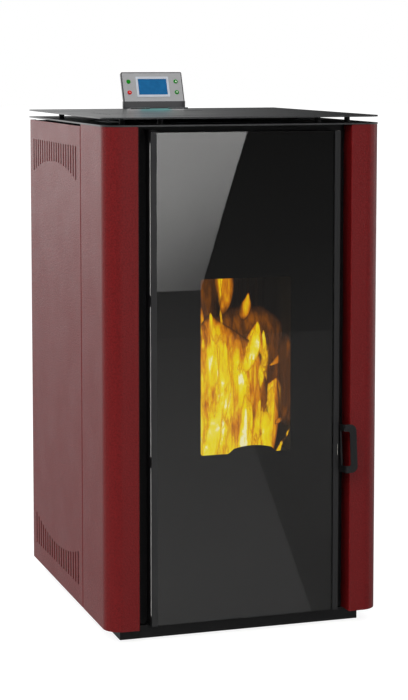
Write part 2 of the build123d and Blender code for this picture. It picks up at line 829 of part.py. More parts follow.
def display_housing():
    """Moulded housing: shallow front shell, narrower back box and the chin that stands on the plate."""
    w = display_width / 2
    h = display_height
    c = chin_width / 2
    wall = 2
    shell = extrude(Pos(0, h / 2, -display_depth) * RectangleRounded(display_width, h, 3), display_depth)
    shell += extrude(Pos(0, h / 2, -display_depth - display_back_depth)
                     * RectangleRounded(display_width - 16, h - 20, 3), display_back_depth)
    chin = block(-c, c, display_y, display_y + display_depth, upper_top, display_z + 2)
    chin = fillet(chin.edges().filter_by(Axis.Z).group_by(Axis.Y)[0], 1.2)
    chin -= block(-c + wall, c - wall, display_y + 1.2, display_y + 20, upper_top - 1, display_z - 1)
    housing = display_plane() * shell + chin
    housing -= face_block(-w + wall, w - wall, wall, h - wall, -display_depth + wall, 3)
    return housing - face_block(-w + 10, w - 10, 12, h - 12, -display_depth - display_back_depth + wall, 0)


def bracket_points():
    """The bracket's path seen from the side, front surface, from the rear panel to the housing."""
    tilt = radians(display_tilt)
    deep = display_depth + display_back_depth
    low_y = display_y - 3 * sin(tilt) + deep * cos(tilt)
    low_z = display_z - 3 * cos(tilt) - deep * sin(tilt)
    high_y = low_y + bracket_arm * sin(tilt)
    high_z = low_z + bracket_arm * cos(tilt)
    leg_y = back - sheet
    return [(leg_y, top - bracket_leg), (leg_y, upper_top + 3), (low_y, low_z), (high_y, high_z)]


def display_bracket():
    """Folded bracket from the rear panel up behind the plates to the display's back."""
    return folded_side(bracket_points(), [3, 3], frame_steel, Side.RIGHT, -bracket_half, bracket_half)


def display_face():
    """Grey face plate with its window and four button holes."""
    h = display_height
    face = face_block(-display_width / 2 + 2.1, display_width / 2 - 2.1, 2.1, h - 2.1, -1.2, -0.1)
    face -= face_block(-bezel_width / 2, bezel_width / 2, screen_y - bezel_height / 2,
                       screen_y + bezel_height / 2, -2, 1)
    for x, y in button_places():
        face -= display_plane() * rod(button_radius + button_gap, (x, y, -2), (0, 0, 1), 3)
    return face


def screen_bezel():
    """Pale raised frame round the screen."""
    outer = display_plane() * extrude(Pos(0, screen_y, -4.9) * RectangleRounded(
        bezel_width - 0.1, bezel_height - 0.1, 1.5), 5.7)
    return outer - face_block(-screen_width / 2, screen_width / 2,
                              screen_y - screen_height / 2, screen_y + screen_height / 2, -6, 2)


def screen():
    """Liquid-crystal module, standing on the display board behind the bezel."""
    return face_block(-screen_width / 2, screen_width / 2,
                      screen_y - screen_height / 2, screen_y + screen_height / 2, -4.9, -0.4)


def display_board():
    """Circuit board that carries the screen and the four key switches."""
    board = face_block(-display_width / 2 + 3, display_width / 2 - 3, 3, display_height - 3, -6, -4.9)
    for x, y in button_places():
        board += face_block(x - 2.5, x + 2.5, y - 2.5, y + 2.5, -4.9, -4.6)
    return board


def button_places():
    """Left pair, then right pair; upper before lower."""
    return [(sign * button_x, y) for sign in (-1, 1) for y in (button_high, button_low)]


def button(x, y):
    """Push button with a bevelled cap, a flange behind the face plate and a short stem."""
    cap = rod(button_radius, (x, y, -1.6), (0, 0, 1), 2.7)
    cap = chamfer(cap.edges().group_by(Axis.Z)[-1], 0.8)
    cap += rod(button_radius + 0.9, (x, y, -2.1), (0, 0, 1), 0.6)
    cap += rod(1.8, (x, y, -3.3), (0, 0, 1), 1.4)
    return display_plane() * cap


# ---------------------------------------------------------------- firebox
def firebox():
    """Welded firebox: front flange, walls, grate floor over the ash bay, baffle ledges."""
    w = firebox_half
    z0 = mouth_bottom - plate_steel
    z1 = mouth_top + plate_steel
    y0 = firebox_front
    y1 = firebox_back
    t = plate_steel
    box = block(-w, w, y0, y1, z0, z1)
    box -= block(-w + t, w - t, y0 - 1, y1 - t, z0 + t, z1 - t)
    flange = block(-w - 15, w + 15, y0, y0 + t, z0 - 15, z1 + 15)
    flange -= front_panel(2 * mouth_half_width, mouth_top - mouth_bottom, mouth_corner, 0,
                          (mouth_top + mouth_bottom) / 2, y0 - 1, y0 + t + 1)
    box += flange
    hole_half_x = pot_width / 2 - pot_rim + 0.5
    hole_half_y = pot_length / 2 - pot_rim + 0.5
    floor = block(-w + t, w - t, y0 + t, y1 - t, grate_height, grate_top)
    floor -= block(-hole_half_x, hole_half_x, front + pot_y - hole_half_y, front + pot_y + hole_half_y,
                   grate_height - 1, grate_top + 1)
    box += floor
    for sign in (-1, 1):
        box += block(sign * (w - t), sign * (w - t - 14), y0 + 50, y1 - t, baffle_height - t, baffle_height)
    box -= block(duct_left + 8, duct_right - 8, y1 - t - 1, y1 + 1, baffle_height + 26, mouth_top - 8)
    box -= chute_rod(chute_radius)
    box -= rod(igniter_radius + 0.5, (0, y1 - t - 1, igniter_z), (0, 1, 0), t + 2)
    box -= rod(intake_radius - spigot_wall, (intake_x, y1 - t - 1, intake_z), (0, 1, 0), t + 2)
    return box + firebox_stand() + heat_fins()


def chute_rod(radius, extra=0):
    """The chute's cylinder: from the auger's upper end down and forward into the firebox."""
    slope = radians(45)
    start_y = front + auger_low_y - chute_along * cos(radians(auger_angle))
    start_z = auger_low_z + chute_along * sin(radians(auger_angle))
    length = (start_y - front - chute_end_y) / cos(slope)
    return rod(radius, (0, start_y, start_z), (0, -cos(slope), -sin(slope)), length + extra)


def firebox_stand():
    """Two side plates with lightening holes that carry the firebox on the chassis."""
    plates = []
    for sign in (-1, 1):
        x0 = sign * (firebox_half - 2)
        x1 = sign * (firebox_half - 2 - frame_steel)
        side = block(x0, x1, firebox_front + 30, firebox_back, chassis_top, mouth_bottom - plate_steel)
        foot = block(x0, sign * (firebox_half - 22), firebox_front + 30, firebox_back,
                     chassis_top, chassis_top + frame_steel)
        side += foot
        for y in (firebox_front + 95, firebox_front + 165, firebox_front + 235):
            side -= rod(24, (x0 - sign * 5, y, 125), (sign, 0, 0), 10)
        plates.append(side)
    return Compound(children=plates)


def firebox_liner():
    """Cast-iron back plate with upright ribs and a cut-out for the chute."""
    y1 = firebox_back - plate_steel
    y0 = y1 - liner_depth
    w = mouth_half_width - 8
    z0 = grate_top
    z1 = baffle_height - 20
    plate = block(-w, w, y0 + 8, y1, z0, z1)
    count = int(2 * w / liner_pitch)
    for index in range(count):
        x = (index - (count - 1) / 2) * liner_pitch
        rib = rod(5, (x, y0 + 8, z0 + 12), (0, 0, 1), z1 - z0 - 24)
        plate += rib
    wide = chute_radius + 4
    middle = auger_low_z + chute_along * sin(radians(auger_angle)) - (chute_start_y() - y0 - 4)
    plate -= block(-wide, wide, y0 - 8, y1 + 1, middle - 54, middle + 54)
    plate -= rod(igniter_radius + 2, (0, y0 - 8, igniter_z), (0, 1, 0), liner_depth + 10)
    return plate


def chute_start_y():
    """Where the chute's axis meets the auger's axis."""
    return front + auger_low_y - chute_along * cos(radians(auger_angle))


def heat_fins():
    """Upright fins on the firebox roof that warm the rising air."""
    fins = []
    z0 = mouth_top + plate_steel
    for index in range(fin_count):
        x = (index - (fin_count - 1) / 2) * fin_pitch
        fin = block(x - 1.5, x + 1.5, firebox_front + 25, firebox_back - 15, z0, z0 + fin_height)
        edges = fin.edges().filter_by(Axis.X).group_by(Axis.Z)[-1]
        fins.append(chamfer(edges, 18))
    return Compound(children=fins)


def baffle_plate():
    """Vermiculite slab that lies on the ledges and sends the smoke round its front edge."""
    w = mouth_half_width - 2
    y0 = firebox_front + 62
    slab = block(-w, w, y0, firebox_back - plate_steel - 1, baffle_height, baffle_height + baffle_thickness)
    return chamfer(slab.edges().filter_by(Axis.X).group_by(Axis.Y)[0], 4)


def burn_pot():
    """Cast burn pot: tapered cup with a hanging rim, air holes in the floor and walls."""
    y = front + pot_y
    z0 = grate_top + body_gap
    inner_w = pot_width - 2 * pot_rim
    inner_l = pot_length - 2 * pot_rim
    low_w = inner_w - pot_taper
    low_l = inner_l - pot_taper
    cup = loft([Pos(0, y, z0 - pot_below) * Rectangle(low_w, low_l),
                Pos(0, y, z0 + pot_above) * Rectangle(inner_w, inner_l)])
    hollow = loft([Pos(0, y, z0 - pot_below + pot_wall) * Rectangle(low_w - 2 * pot_wall, low_l - 2 * pot_wall),
                   Pos(0, y, z0 + pot_above) * Rectangle(inner_w - 2 * pot_wall, inner_l - 2 * pot_wall)])
    rim = extrude(Pos(0, y, z0) * RectangleRounded(pot_width, pot_length, 5), 4)
    pot = cup + rim - hollow
    for column in range(4):
        for row in range(3):
            x = (column - 1.5) * 16
            hole_y = y + (row - 1) * 16
            pot -= rod(2.5, (x, hole_y, z0 - pot_below - 1), (0, 0, 1), pot_wall + 2)
    for column in range(4):
        x = (column - 1.5) * 16
        pot -= rod(2.5, (x, y - pot_length, z0 + 26), (0, 1, 0), pot_length)
    pot -= rod(igniter_radius + 1, (0, y, igniter_z), (0, 1, 0), pot_length)
    return pot


def igniter():
    """Cartridge heater that points at the pot's rear hole, held in the firebox's back wall."""
    y0 = front + pot_y + pot_length / 2 + 1.5
    cartridge = rod(igniter_radius, (0, y0, igniter_z), (0, 1, 0), firebox_back + 22 - y0)
    collar = rod(igniter_radius + 5, (0, firebox_back, igniter_z), (0, 1, 0), 6)
    return cartridge + collar


def ash_drawer():
    """Open tray on the ash bay's floor, with a rolled grip on its front."""
    w = drawer_half_width
    y0 = front + drawer_front
    y1 = y0 + drawer_length
    z0 = mouth_bottom + body_gap
    z1 = z0 + drawer_height
    tray = block(-w, w, y0, y1, z0, z1)
    tray -= block(-w + sheet, w - sheet, y0 + sheet, y1 - sheet, z0 + sheet, z1 + 1)
    grip = folded_side([(y0, z1 - 30), (y0 - 7, z1 - 30), (y0 - 7, z1 - 14)], [2], sheet, Side.LEFT, -45, 45)
    return tray + grip


# ---------------------------------------------------------------- feed
def auger_axis(along):
    """A point on the auger's axis, measured up from its lower end."""
    slope = radians(auger_angle)
    return (0, front + auger_low_y - along * cos(slope), auger_low_z + along * sin(slope))


def auger_direction():
    slope = radians(auger_angle)
    return (0, -cos(slope), sin(slope))


def auger_tube():
    """Feed tube with end caps, the hopper's inlet on top and the chute's outlet below."""
    end = auger_tube_wall
    tube = rod(auger_tube_radius, auger_axis(0), auger_direction(), auger_length)
    tube -= rod(auger_tube_radius - auger_tube_wall, auger_axis(end), auger_direction(), auger_length - 2 * end)
    tube -= rod(auger_shaft_radius + 0.1, auger_axis(-1), auger_direction(), end + 2)
    inlet_y = auger_axis(neck_along)[1]
    inlet = neck_half - hopper_wall
    tube -= block(-inlet, inlet, inlet_y - inlet, inlet_y + inlet, auger_axis(neck_along)[2], hopper_neck_top)
    tube -= chute_rod(chute_radius - chute_wall)
    return tube


def feed_chute():
    """Round chute from the feed tube down through the firebox's back wall."""
    chute = chute_rod(chute_radius)
    chute -= chute_rod(chute_radius - chute_wall, 5)
    return chute - rod(auger_tube_radius, auger_axis(-5), auger_direction(), auger_length + 10)


def auger_screw():
    """Shaft with a helical flight, turned by the gearmotor."""
    plane = Plane(origin=auger_axis(0), x_dir=(1, 0, 0), z_dir=auger_direction())
    shaft_length = auger_length - auger_tube_wall - 1
    shaft = Pos(0, 0, -10) * Cylinder(auger_shaft_radius, shaft_length + 10,
                                      align=(Align.CENTER, Align.CENTER, Align.MIN))
    turns_length = auger_length - 30
    path = Helix(pitch=auger_pitch, height=turns_length, radius=auger_radius)
    inner = auger_shaft_radius - 0.8
    blade = make_face(Polyline((inner, 0, -1.2), (auger_radius, 0, -1.2), (auger_radius, 0, 1.2),
                               (inner, 0, 1.2), close=True))
    flight = sweep(blade, path=path, is_frenet=True)
    return plane * (shaft + Pos(0, 0, 8) * flight)


def gearmotor():
    """Round gearbox against the tube's lower cap, with a smaller motor behind it."""
    direction = auger_direction()
    gearbox = rod(gearmotor_radius, auger_axis(-26), direction, 26)
    gearbox = chamfer(gearbox.edges().filter_by(GeomType.CIRCLE).sort_by(Axis.Z)[0], 3)
    motor = rod(gearmotor_radius - 9, auger_axis(-60), direction, 34)
    body = gearbox + motor
    return body - rod(auger_shaft_radius + 0.1, auger_axis(-12), direction, 14)


def hopper():
    """Pellet hopper: straight upper part, funnel and neck, bolted under the lower plate."""
    middle_y = (hopper_y0 + hopper_y1) / 2
    neck_y = auger_axis(neck_along)[1]
    length = hopper_y1 - hopper_y0
    width = 2 * hopper_half_width

    def level(z, inset, w, l, y):
        return Pos(0, y, z) * Rectangle(w - 2 * inset, l - 2 * inset)

    def body(inset):
        upper = extrude(level(hopper_funnel_top, inset, width, length, middle_y),
                        upper_bottom - hopper_funnel_top)
        funnel = loft([level(hopper_neck_top, inset, 2 * neck_half, 2 * neck_half, neck_y),
                       level(hopper_funnel_top, inset, width, length, middle_y)])
        neck_low = auger_axis(neck_along)[2]
        neck = extrude(level(neck_low, inset, 2 * neck_half, 2 * neck_half, neck_y), hopper_neck_top - neck_low)
        return upper + funnel + neck

    shell = body(0) - body(hopper_wall)
    shell -= rod(auger_tube_radius, auger_axis(-20), auger_direction(), auger_length + 40)
    rim = block(-hopper_half_width - 14, hopper_half_width + 14, hopper_y0 - 14, hopper_y1 + 14,
                top - frame_steel, top)
    rim -= block(-hopper_half_width, hopper_half_width, hopper_y0, hopper_y1, top - 5, top + 1)
    return max((shell + rim).solids(), key=lambda solid: solid.volume)


# ---------------------------------------------------------------- smoke path
def smoke_duct():
    """Duct down the firebox's back wall, widening to the box beside the smoke fan."""
    y0 = firebox_back
    t = frame_steel
    top_z = mouth_top - 2

    def body(inset):
        riser = block(duct_left + inset, duct_right - inset, y0 + inset, y0 + duct_depth - inset,
                      duct_box_bottom + inset, top_z - inset)
        low = block(duct_left + inset, duct_right - inset, y0 + inset, front + duct_box_rear - inset,
                    duct_box_bottom + inset, duct_box_top - inset)
        return riser + low

    duct = body(0) - body(t)
    duct -= block(duct_left + 8, duct_right - 8, y0 - 1, y0 + t + 1, baffle_height + 26, mouth_top - 8)
    return duct - rod(fan_inlet_radius, (duct_right - t - 1, front + fan_y, fan_z), (1, 0, 0), t + 2)


def fan_volute(inset):
    """Scroll shape of the smoke fan, with its outlet towards the back."""
    x0 = duct_right + inset
    x1 = duct_right + fan_thickness - inset
    drum = rod(fan_radius - inset, (x0, front + fan_y, fan_z), (1, 0, 0), x1 - x0)
    outlet = block(x0, x1, front + fan_y, front + fan_y + fan_outlet_length + (1 if inset else 0),
                   fan_z - fan_radius + inset, fan_z - fan_radius + fan_thickness - inset)
    return drum + outlet


def smoke_fan_housing():
    """Sheet scroll with a round inlet, an outlet towards the back and a hole for the motor shaft."""
    housing = fan_volute(0) - fan_volute(frame_steel)
    x0 = duct_right
    x1 = duct_right + fan_thickness
    housing -= rod(fan_inlet_radius, (x0 - 1, front + fan_y, fan_z), (1, 0, 0), frame_steel + 2)
    return housing - rod(8, (x1 - frame_steel - 1, front + fan_y, fan_z), (1, 0, 0), frame_steel + 2)


def smoke_fan_wheel():
    """Paddle wheel: back disc, straight blades, hub and shaft."""
    x_disc = duct_right + fan_thickness - frame_steel - 6
    centre = (front + fan_y, fan_z)
    wheel = rod(wheel_radius, (x_disc, *centre), (1, 0, 0), 2)
    wheel += rod(11, (x_disc - 14, *centre), (1, 0, 0), 16)
    wheel += rod(4, (x_disc - 14, *centre), (1, 0, 0), 40)
    blade_length = wheel_radius - 20
    for index in range(wheel_blades):
        blade = block(x_disc - 48, x_disc, 20, 20 + blade_length, -0.8, 0.8)
        wheel += Pos(0, *centre) * Rot(360 / wheel_blades * index, 0, 0) * blade
    return wheel


def smoke_fan_motor():
    """Shaded-pole motor on the side of the smoke fan."""
    x0 = duct_right + fan_thickness
    centre = (front + fan_y, fan_z)
    motor = rod(smoke_motor_radius, (x0, *centre), (1, 0, 0), smoke_motor_length)
    motor = chamfer(motor.edges().group_by(Axis.X)[-1], 4)
    motor -= rod(4.1, (x0 - 1, *centre), (1, 0, 0), 30)
    for index in range(8):
        slot = block(x0 + 12, x0 + smoke_motor_length - 10, smoke_motor_radius - 4,
                     smoke_motor_radius + 1, -3, 3)
        motor -= Pos(0, *centre) * Rot(45 * index, 0, 0) * slot
    return motor


def flue_spigot():
    """Round flue outlet with a square flange on the fan's outlet; the flue pipe slides over it."""
    y0 = front + fan_y + fan_outlet_length
    side = fan_thickness / 2
    flange = block(flue_x - side - 6, flue_x + side + 6, y0, y0 + 3, flue_z - side, flue_z + side + 6)
    tube = rod(spigot_radius, (flue_x, y0, flue_z), (0, 1, 0), back + spigot_reach - y0)
    stop = rod(spigot_radius + 3, (flue_x, back + stop_gap, flue_z), (0, 1, 0), stop_thickness)
    tube = tube + flange + stop
    return tube - rod(spigot_radius - spigot_wall, (flue_x, y0 - 1, flue_z), (0, 1, 0), casing_depth)


def air_intake():
    """Combustion-air pipe from the rear panel to the ash bay."""
    y0 = firebox_back
    length = back + intake_reach - y0
    stop = pipe(intake_radius + 3, 3.5, (intake_x, back + stop_gap, intake_z), (0, 1, 0), stop_thickness)
    return pipe(intake_radius, spigot_wall, (intake_x, y0, intake_z), (0, 1, 0), length) + stop


# ---------------------------------------------------------------- room air fan
def room_fan_housing():
    """End plates, curved back sheet and throat of the room-air fan."""
    y = front + drum_y
    x0 = fan_left + frame_steel
    x1 = fan_right - frame_steel
    scroll = rod(drum_radius + 10, (x0, y, drum_z), (1, 0, 0), x1 - x0)
    scroll -= rod(drum_radius + 8, (x0, y, drum_z), (1, 0, 0), x1 - x0)
    scroll -= block(x0 - 1, x1 + 1, y - 60, y, drum_z - 60, drum_z + 60)
    housing = scroll
    for x in (x0 - frame_steel, x1):
        plate = block(x, x + frame_steel, y - 46, y + 46, chassis_top, drum_z + 46)
        plate -= rod(5.1, (x - 1, y, drum_z), (1, 0, 0), frame_steel + 2)
        housing += plate
    housing += block(x0, x1, y - 46, y + 46, chassis_top, chassis_top + frame_steel)
    return housing + room_fan_motor()


def room_fan_drum():
    """Cross-flow drum: end discs, a middle disc and straight blades round the rim, on a shaft."""
    x0 = drum_x - drum_length / 2
    y = front + drum_y
    drum = rod(5, (x0 - 12, y, drum_z), (1, 0, 0), drum_length + 30)
    for x in (x0, drum_x - 1, x0 + drum_length - 2):
        drum += rod(drum_radius, (x, y, drum_z), (1, 0, 0), 2)
    for index in range(drum_blades):
        blade = block(x0, x0 + drum_length, drum_radius - 8, drum_radius - 1, -0.6, 0.6)
        tilted = Rot(360 / drum_blades * index, 0, 0) * blade
        drum += Pos(0, y, drum_z) * tilted
    return drum


def room_fan_motor():
    """Small motor on the right end plate."""
    x0 = fan_right
    y = front + drum_y
    motor = rod(24, (x0, y, drum_z), (1, 0, 0), room_motor_length)
    motor = chamfer(motor.edges().group_by(Axis.X)[-1], 3)
    return motor - rod(5.1, (x0 - 1, y, drum_z), (1, 0, 0), 20)


# ---------------------------------------------------------------- electrics
def control_board():
    """Control board with relays, capacitors and a transformer, on a folded tray."""
    x0 = board_side_gap - half
    y0 = front + board_setback
    y1 = y0 + board_length
    low = board_top - board_height
    high = board_top - board_margin
    tray = block(x0, x0 + sheet, y0, y1, chassis_top, board_top)
    tray += block(x0, x0 + 30, y0, y1, chassis_top, chassis_top + sheet)
    board_x = x0 + sheet + board_stand
    tray += block(board_x, board_x + 1.6, y0 + board_margin, y1 - board_margin, low, high)
    for y in (y0 + 18, y1 - 18):
        for z in (low + 8, high - 8):
            tray += rod(3, (x0, y, z), (1, 0, 0), board_stand + 2)
    parts_x = board_x + 1.6
    tray += block(parts_x, parts_x + 26, y0 + 20, y0 + 60, low + 15, low + 60)
    for index in range(5):
        y = y0 + 78 + 16 * index
        tray += block(parts_x, parts_x + 15, y, y + 10, low + 15, low + 35)
    for index in range(3):
        tray += rod(6, (parts_x, y0 + 40 + 22 * index, high - 35), (1, 0, 0), 22)
    tray += block(parts_x, parts_x + 12, y1 - 26, y1 - 16, low + 50, high - 18)
    return tray


def power_inlet():
    """Three-pin mains inlet with its collar, set in the rear panel."""
    y1 = back - sheet
    inlet = block(socket_x - 17, socket_x + 17, y1, y1 + 2.5, socket_z - 13.5, socket_z + 13.5)
    inlet += block(socket_x - 14, socket_x + 14, y1 - 22, y1 + 1, socket_z - 10.5, socket_z + 10.5)
    inlet -= block(socket_x - 12.2, socket_x + 12.2, y1 - 16, y1 + 4, socket_z - 8.2, socket_z + 8.2)
    for x, z in ((-7, -3), (0, 1), (7, -3)):
        inlet += block(socket_x + x - 1, socket_x + x + 1, y1 - 17, y1 - 2, socket_z + z - 2, socket_z + z + 2)
    return inlet


def switch_frame():
    """Frame of the rocker switch beside the inlet, with its two trunnions."""
    y1 = back - sheet
    frame = block(switch_x - 10, switch_x + 10, y1, y1 + 2, socket_z - 13.5, socket_z + 13.5)
    frame += block(switch_x - 7, switch_x + 7, y1 - 20, y1 + 1, socket_z - 10.5, socket_z + 10.5)
    frame -= block(switch_x - 5.6, switch_x + 5.6, y1 - 9, y1 + 3, socket_z - 9.4, socket_z + 9.4)
    return frame + rod(1.5, (switch_x - 6.5, y1 - 1, socket_z), (1, 0, 0), 13)


def switch_rocker():
    """Rocker with two flat halves that meet at a shallow angle, resting tilted to its lower half."""
    y1 = back - sheet
    width = 10.6
    side = Plane(origin=(switch_x - width / 2, 0, 0), x_dir=(0, 1, 0), z_dir=(1, 0, 0))
    outline = Polyline((-5, -6), (-5, 6), (2.8, 8.2), (2.2, 0), (2.8, -8.2), close=True)
    rocker = extrude(side * make_face(outline), width)
    rocker -= rod(1.5 + running_gap, (switch_x - width, 0, 0), (1, 0, 0), 2 * width)
    return Pos(0, y1 - 1, socket_z) * Rot(rocker_swing, 0, 0) * rocker


def rear_screws():
    """Screws through the side panels' rear flanges, and those of the display bracket."""
    screws = []
    for sign in (-1, 1):
        for index in range(5):
            z = bottom + 60 + index * (casing_height - 130) / 4
            screws.append(rod(rear_screw_radius, (sign * (half - 8), back, z), (0, 1, 0), 2.2))
    for x in (-30, 30):
        screws.append(rod(rear_screw_radius, (x, back - sheet + frame_steel, top - 35), (0, 1, 0), 2.2))
    return Compound(children=screws)


# ---------------------------------------------------------------- write every sub-part
def main():
    os.makedirs("parts", exist_ok=True)
    column = corner_column()
    panel = side_panel()
    channel = glass_channel()
    save("plinth", plinth())
    save("levelling_feet", levelling_feet())
    save("chassis_base", chassis_base())
    save("side_panel_right", panel)
    save("side_panel_left", mirrored(panel))
    save("corner_column_right", column)
    save("corner_column_left", mirrored(column))
    save("front_frame", front_frame())
    save("rear_panel", rear_panel())
    save("rear_screws", rear_screws())
    save("lower_top_plate", lower_plate())
    save("plate_posts", plate_posts())
    save("upper_top_plate", upper_plate())
    save("hopper_lid", hopper_lid())
    save("lid_hinge_pins", lid_hinge_pins())
    save("display_bracket", display_bracket())
    save("display_housing", display_housing())
    save("display_board", display_board())
    save("display_face", display_face())
    save("screen_bezel", screen_bezel())
    save("screen", screen())
    names = ["button_on", "button_off", "button_up", "button_down"]
    for name, (x, y) in zip(names, button_places()):
        save(name, button(x, y))
    save("door_pan", door_pan())
    save("glass_channel_right", latch_notch(channel))
    save("glass_channel_left", mirrored(channel))
    save("door_glass", door_glass())
    save("glass_enamel", glass_enamel())
    save("glass_tape", glass_tape())
    save("rope_seal", rope_seal())
    save("hinge_lugs", hinge_lugs())
    save("hinge_pins", hinge_pins())
    save("handle", handle())
    save("handle_bolt", handle_bolt())
    save("strike", strike())
    save("firebox", firebox())
    save("firebox_liner", firebox_liner())
    save("baffle_plate", baffle_plate())
    save("burn_pot", burn_pot())
    save("igniter", igniter())
    save("ash_drawer", ash_drawer())
    save("hopper", hopper())
    save("feed_chute", feed_chute())
    save("auger_tube", auger_tube())
    save("auger_screw", auger_screw())
    save("gearmotor", gearmotor())
    save("smoke_duct", smoke_duct())
    save("smoke_fan_housing", smoke_fan_housing())
    save("smoke_fan_wheel", smoke_fan_wheel())
    save("smoke_fan_motor", smoke_fan_motor())
    save("flue_spigot", flue_spigot())
    save("air_intake", air_intake())
    save("room_fan_housing", room_fan_housing())
    save("room_fan_drum", room_fan_drum())
    save("control_board", control_board())
    save("power_inlet", power_inlet())
    save("switch_frame", switch_frame())
    save("switch_rocker", switch_rocker())


main()
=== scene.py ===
import bmesh
import bpy
from math import cos, pi, radians, sin
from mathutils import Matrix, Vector


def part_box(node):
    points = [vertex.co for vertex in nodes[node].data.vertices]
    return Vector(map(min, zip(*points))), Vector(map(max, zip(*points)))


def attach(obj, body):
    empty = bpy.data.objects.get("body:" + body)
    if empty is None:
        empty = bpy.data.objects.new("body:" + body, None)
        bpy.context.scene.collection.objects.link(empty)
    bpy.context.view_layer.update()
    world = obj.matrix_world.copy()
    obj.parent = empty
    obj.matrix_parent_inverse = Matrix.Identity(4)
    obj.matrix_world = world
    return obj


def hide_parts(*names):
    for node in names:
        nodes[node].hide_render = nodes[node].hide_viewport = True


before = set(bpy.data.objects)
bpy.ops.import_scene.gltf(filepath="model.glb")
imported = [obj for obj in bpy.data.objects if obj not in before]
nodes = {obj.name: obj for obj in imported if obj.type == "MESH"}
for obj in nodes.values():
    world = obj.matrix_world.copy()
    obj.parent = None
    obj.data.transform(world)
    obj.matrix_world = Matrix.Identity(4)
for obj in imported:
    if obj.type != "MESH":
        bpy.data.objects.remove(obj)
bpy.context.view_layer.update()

# ---------------------------------------------------------------- studio
# A pale floor in white surroundings, with a large soft lamp at the front left and a weak one at the left.
# Cards that only reflections see stand where a studio has walls, lamps and its dark side: they shade the
# glass and the steel.


def add_node(tree, kind, inputs=None, **settings):
    """Adds a node, makes its settings, then fills or links its inputs."""
    node = tree.nodes.new(kind)
    for name, value in settings.items():
        setattr(node, name, value)
    for name, value in (inputs or {}).items():
        if isinstance(value, bpy.types.NodeSocket):
            tree.links.new(value, node.inputs[name])
        else:
            node.inputs[name].default_value = value
    return node


def hex_colour(code):
    """sRGB hex digits as the linear colour that the shaders take."""
    parts = [int(code[i:i + 2], 16) / 255 for i in (0, 2, 4)]
    return [p / 12.92 if p <= 0.04045 else ((p + 0.055) / 1.055) ** 2.4 for p in parts] + [1.0]


def shader_tree(name):
    """A new material with nothing in its tree but the output."""
    material = bpy.data.materials.new(name)
    material.use_nodes = True
    material.node_tree.nodes.clear()
    output = add_node(material.node_tree, "ShaderNodeOutputMaterial")
    return material, material.node_tree, output


def mesh_piece(name, vertices, faces, material):
    """A plain mesh object whose place is in its mesh."""
    mesh = bpy.data.meshes.new(name)
    mesh.from_pydata(vertices, [], faces)
    mesh.materials.append(material)
    piece = bpy.data.objects.new(name, mesh)
    bpy.context.scene.collection.objects.link(piece)
    return piece


def studio_world():
    """White for the camera, gloss and glass; softer for the light that falls on the stove."""
    world = bpy.data.worlds.new("white_studio")
    bpy.context.scene.world = world
    world.use_nodes = True
    tree = world.node_tree
    tree.nodes.clear()
    path = add_node(tree, "ShaderNodeLightPath")
    seen = add_node(tree, "ShaderNodeMath",
                    {0: path.outputs["Is Camera Ray"], 1: path.outputs["Is Glossy Ray"]}, operation="ADD")
    seen = add_node(tree, "ShaderNodeMath", {0: seen.outputs[0], 1: path.outputs["Is Transmission Ray"]},
                    operation="ADD", use_clamp=True)
    soft = add_node(tree, "ShaderNodeBackground", {"Color": hex_colour("ffffff"), "Strength": 0.78})
    white = add_node(tree, "ShaderNodeBackground", {"Color": hex_colour("ffffff"), "Strength": 1.0})
    mix = add_node(tree, "ShaderNodeMixShader",
                   {0: seen.outputs[0], 1: soft.outputs[0], 2: white.outputs[0]})
    add_node(tree, "ShaderNodeOutputWorld", {"Surface": mix.outputs[0]})


def studio_floor():
    """Pale floor: white to the camera, less the shadow that the stove casts on it."""
    material, tree, output = shader_tree("pale_floor")
    path = add_node(tree, "ShaderNodeLightPath")
    paint = add_node(tree, "ShaderNodeBsdfDiffuse", {"Color": hex_colour("9c9c9c")})
    glow = add_node(tree, "ShaderNodeEmission", {"Color": hex_colour("ffffff"), "Strength": 0.86})
    off = add_node(tree, "ShaderNodeEmission", {"Color": hex_colour("000000"), "Strength": 0.0})
    pick = add_node(tree, "ShaderNodeMixShader",
                    {0: path.outputs["Is Camera Ray"], 1: off.outputs[0], 2: glow.outputs[0]})
    both = add_node(tree, "ShaderNodeAddShader", {0: paint.outputs[0], 1: pick.outputs[0]})
    tree.links.new(both.outputs[0], output.inputs["Surface"])
    reach = 40
    corners = [(-reach, -reach, 0), (reach, -reach, 0), (reach, reach, 0), (-reach, reach, 0)]
    floor = mesh_piece("studio_floor", corners, [(0, 1, 2, 3)], material)
    floor.visible_glossy = False


def upright(y):
    """Puts a card's points on an upright plane at this y."""
    return lambda x, z: (x, y, z)


def lying(z):
    """Puts a card's points on a level plane at this z."""
    return lambda x, y: (x, y, z)


def reflector(name, rows, place, colour="ffffff"):
    """A glowing card that only reflections see. Each row: its position, its two ends and their levels."""
    columns = 8
    vertices = []
    levels = []
    for across, left, right, level_left, level_right in rows:
        for column in range(columns + 1):
            share = column / columns
            vertices.append(place(left + (right - left) * share, across))
            levels.append(level_left + (level_right - level_left) * share)
    faces = []
    for row in range(len(rows) - 1):
        for column in range(columns):
            a = row * (columns + 1) + column
            faces.append((a, a + 1, a + columns + 2, a + columns + 1))
    material, tree, output = shader_tree(name)
    level = add_node(tree, "ShaderNodeAttribute", attribute_name="level")
    glow = add_node(tree, "ShaderNodeEmission",
                    {"Color": hex_colour(colour), "Strength": level.outputs["Fac"]})
    tree.links.new(glow.outputs[0], output.inputs["Surface"])
    card = mesh_piece(name, vertices, faces, material)
    attribute = card.data.attributes.new("level", "FLOAT", "POINT")
    attribute.data.foreach_set("value", levels)
    card.visible_camera = False
    card.visible_diffuse = False
    card.visible_shadow = False


studio_world()
studio_floor()
wall_y = -4.40
card_y = -4.39
front_card_y = -4.38
far_wall_y = 2.2
side_wall_y = 16
side_x = -5
low_z = -1.6

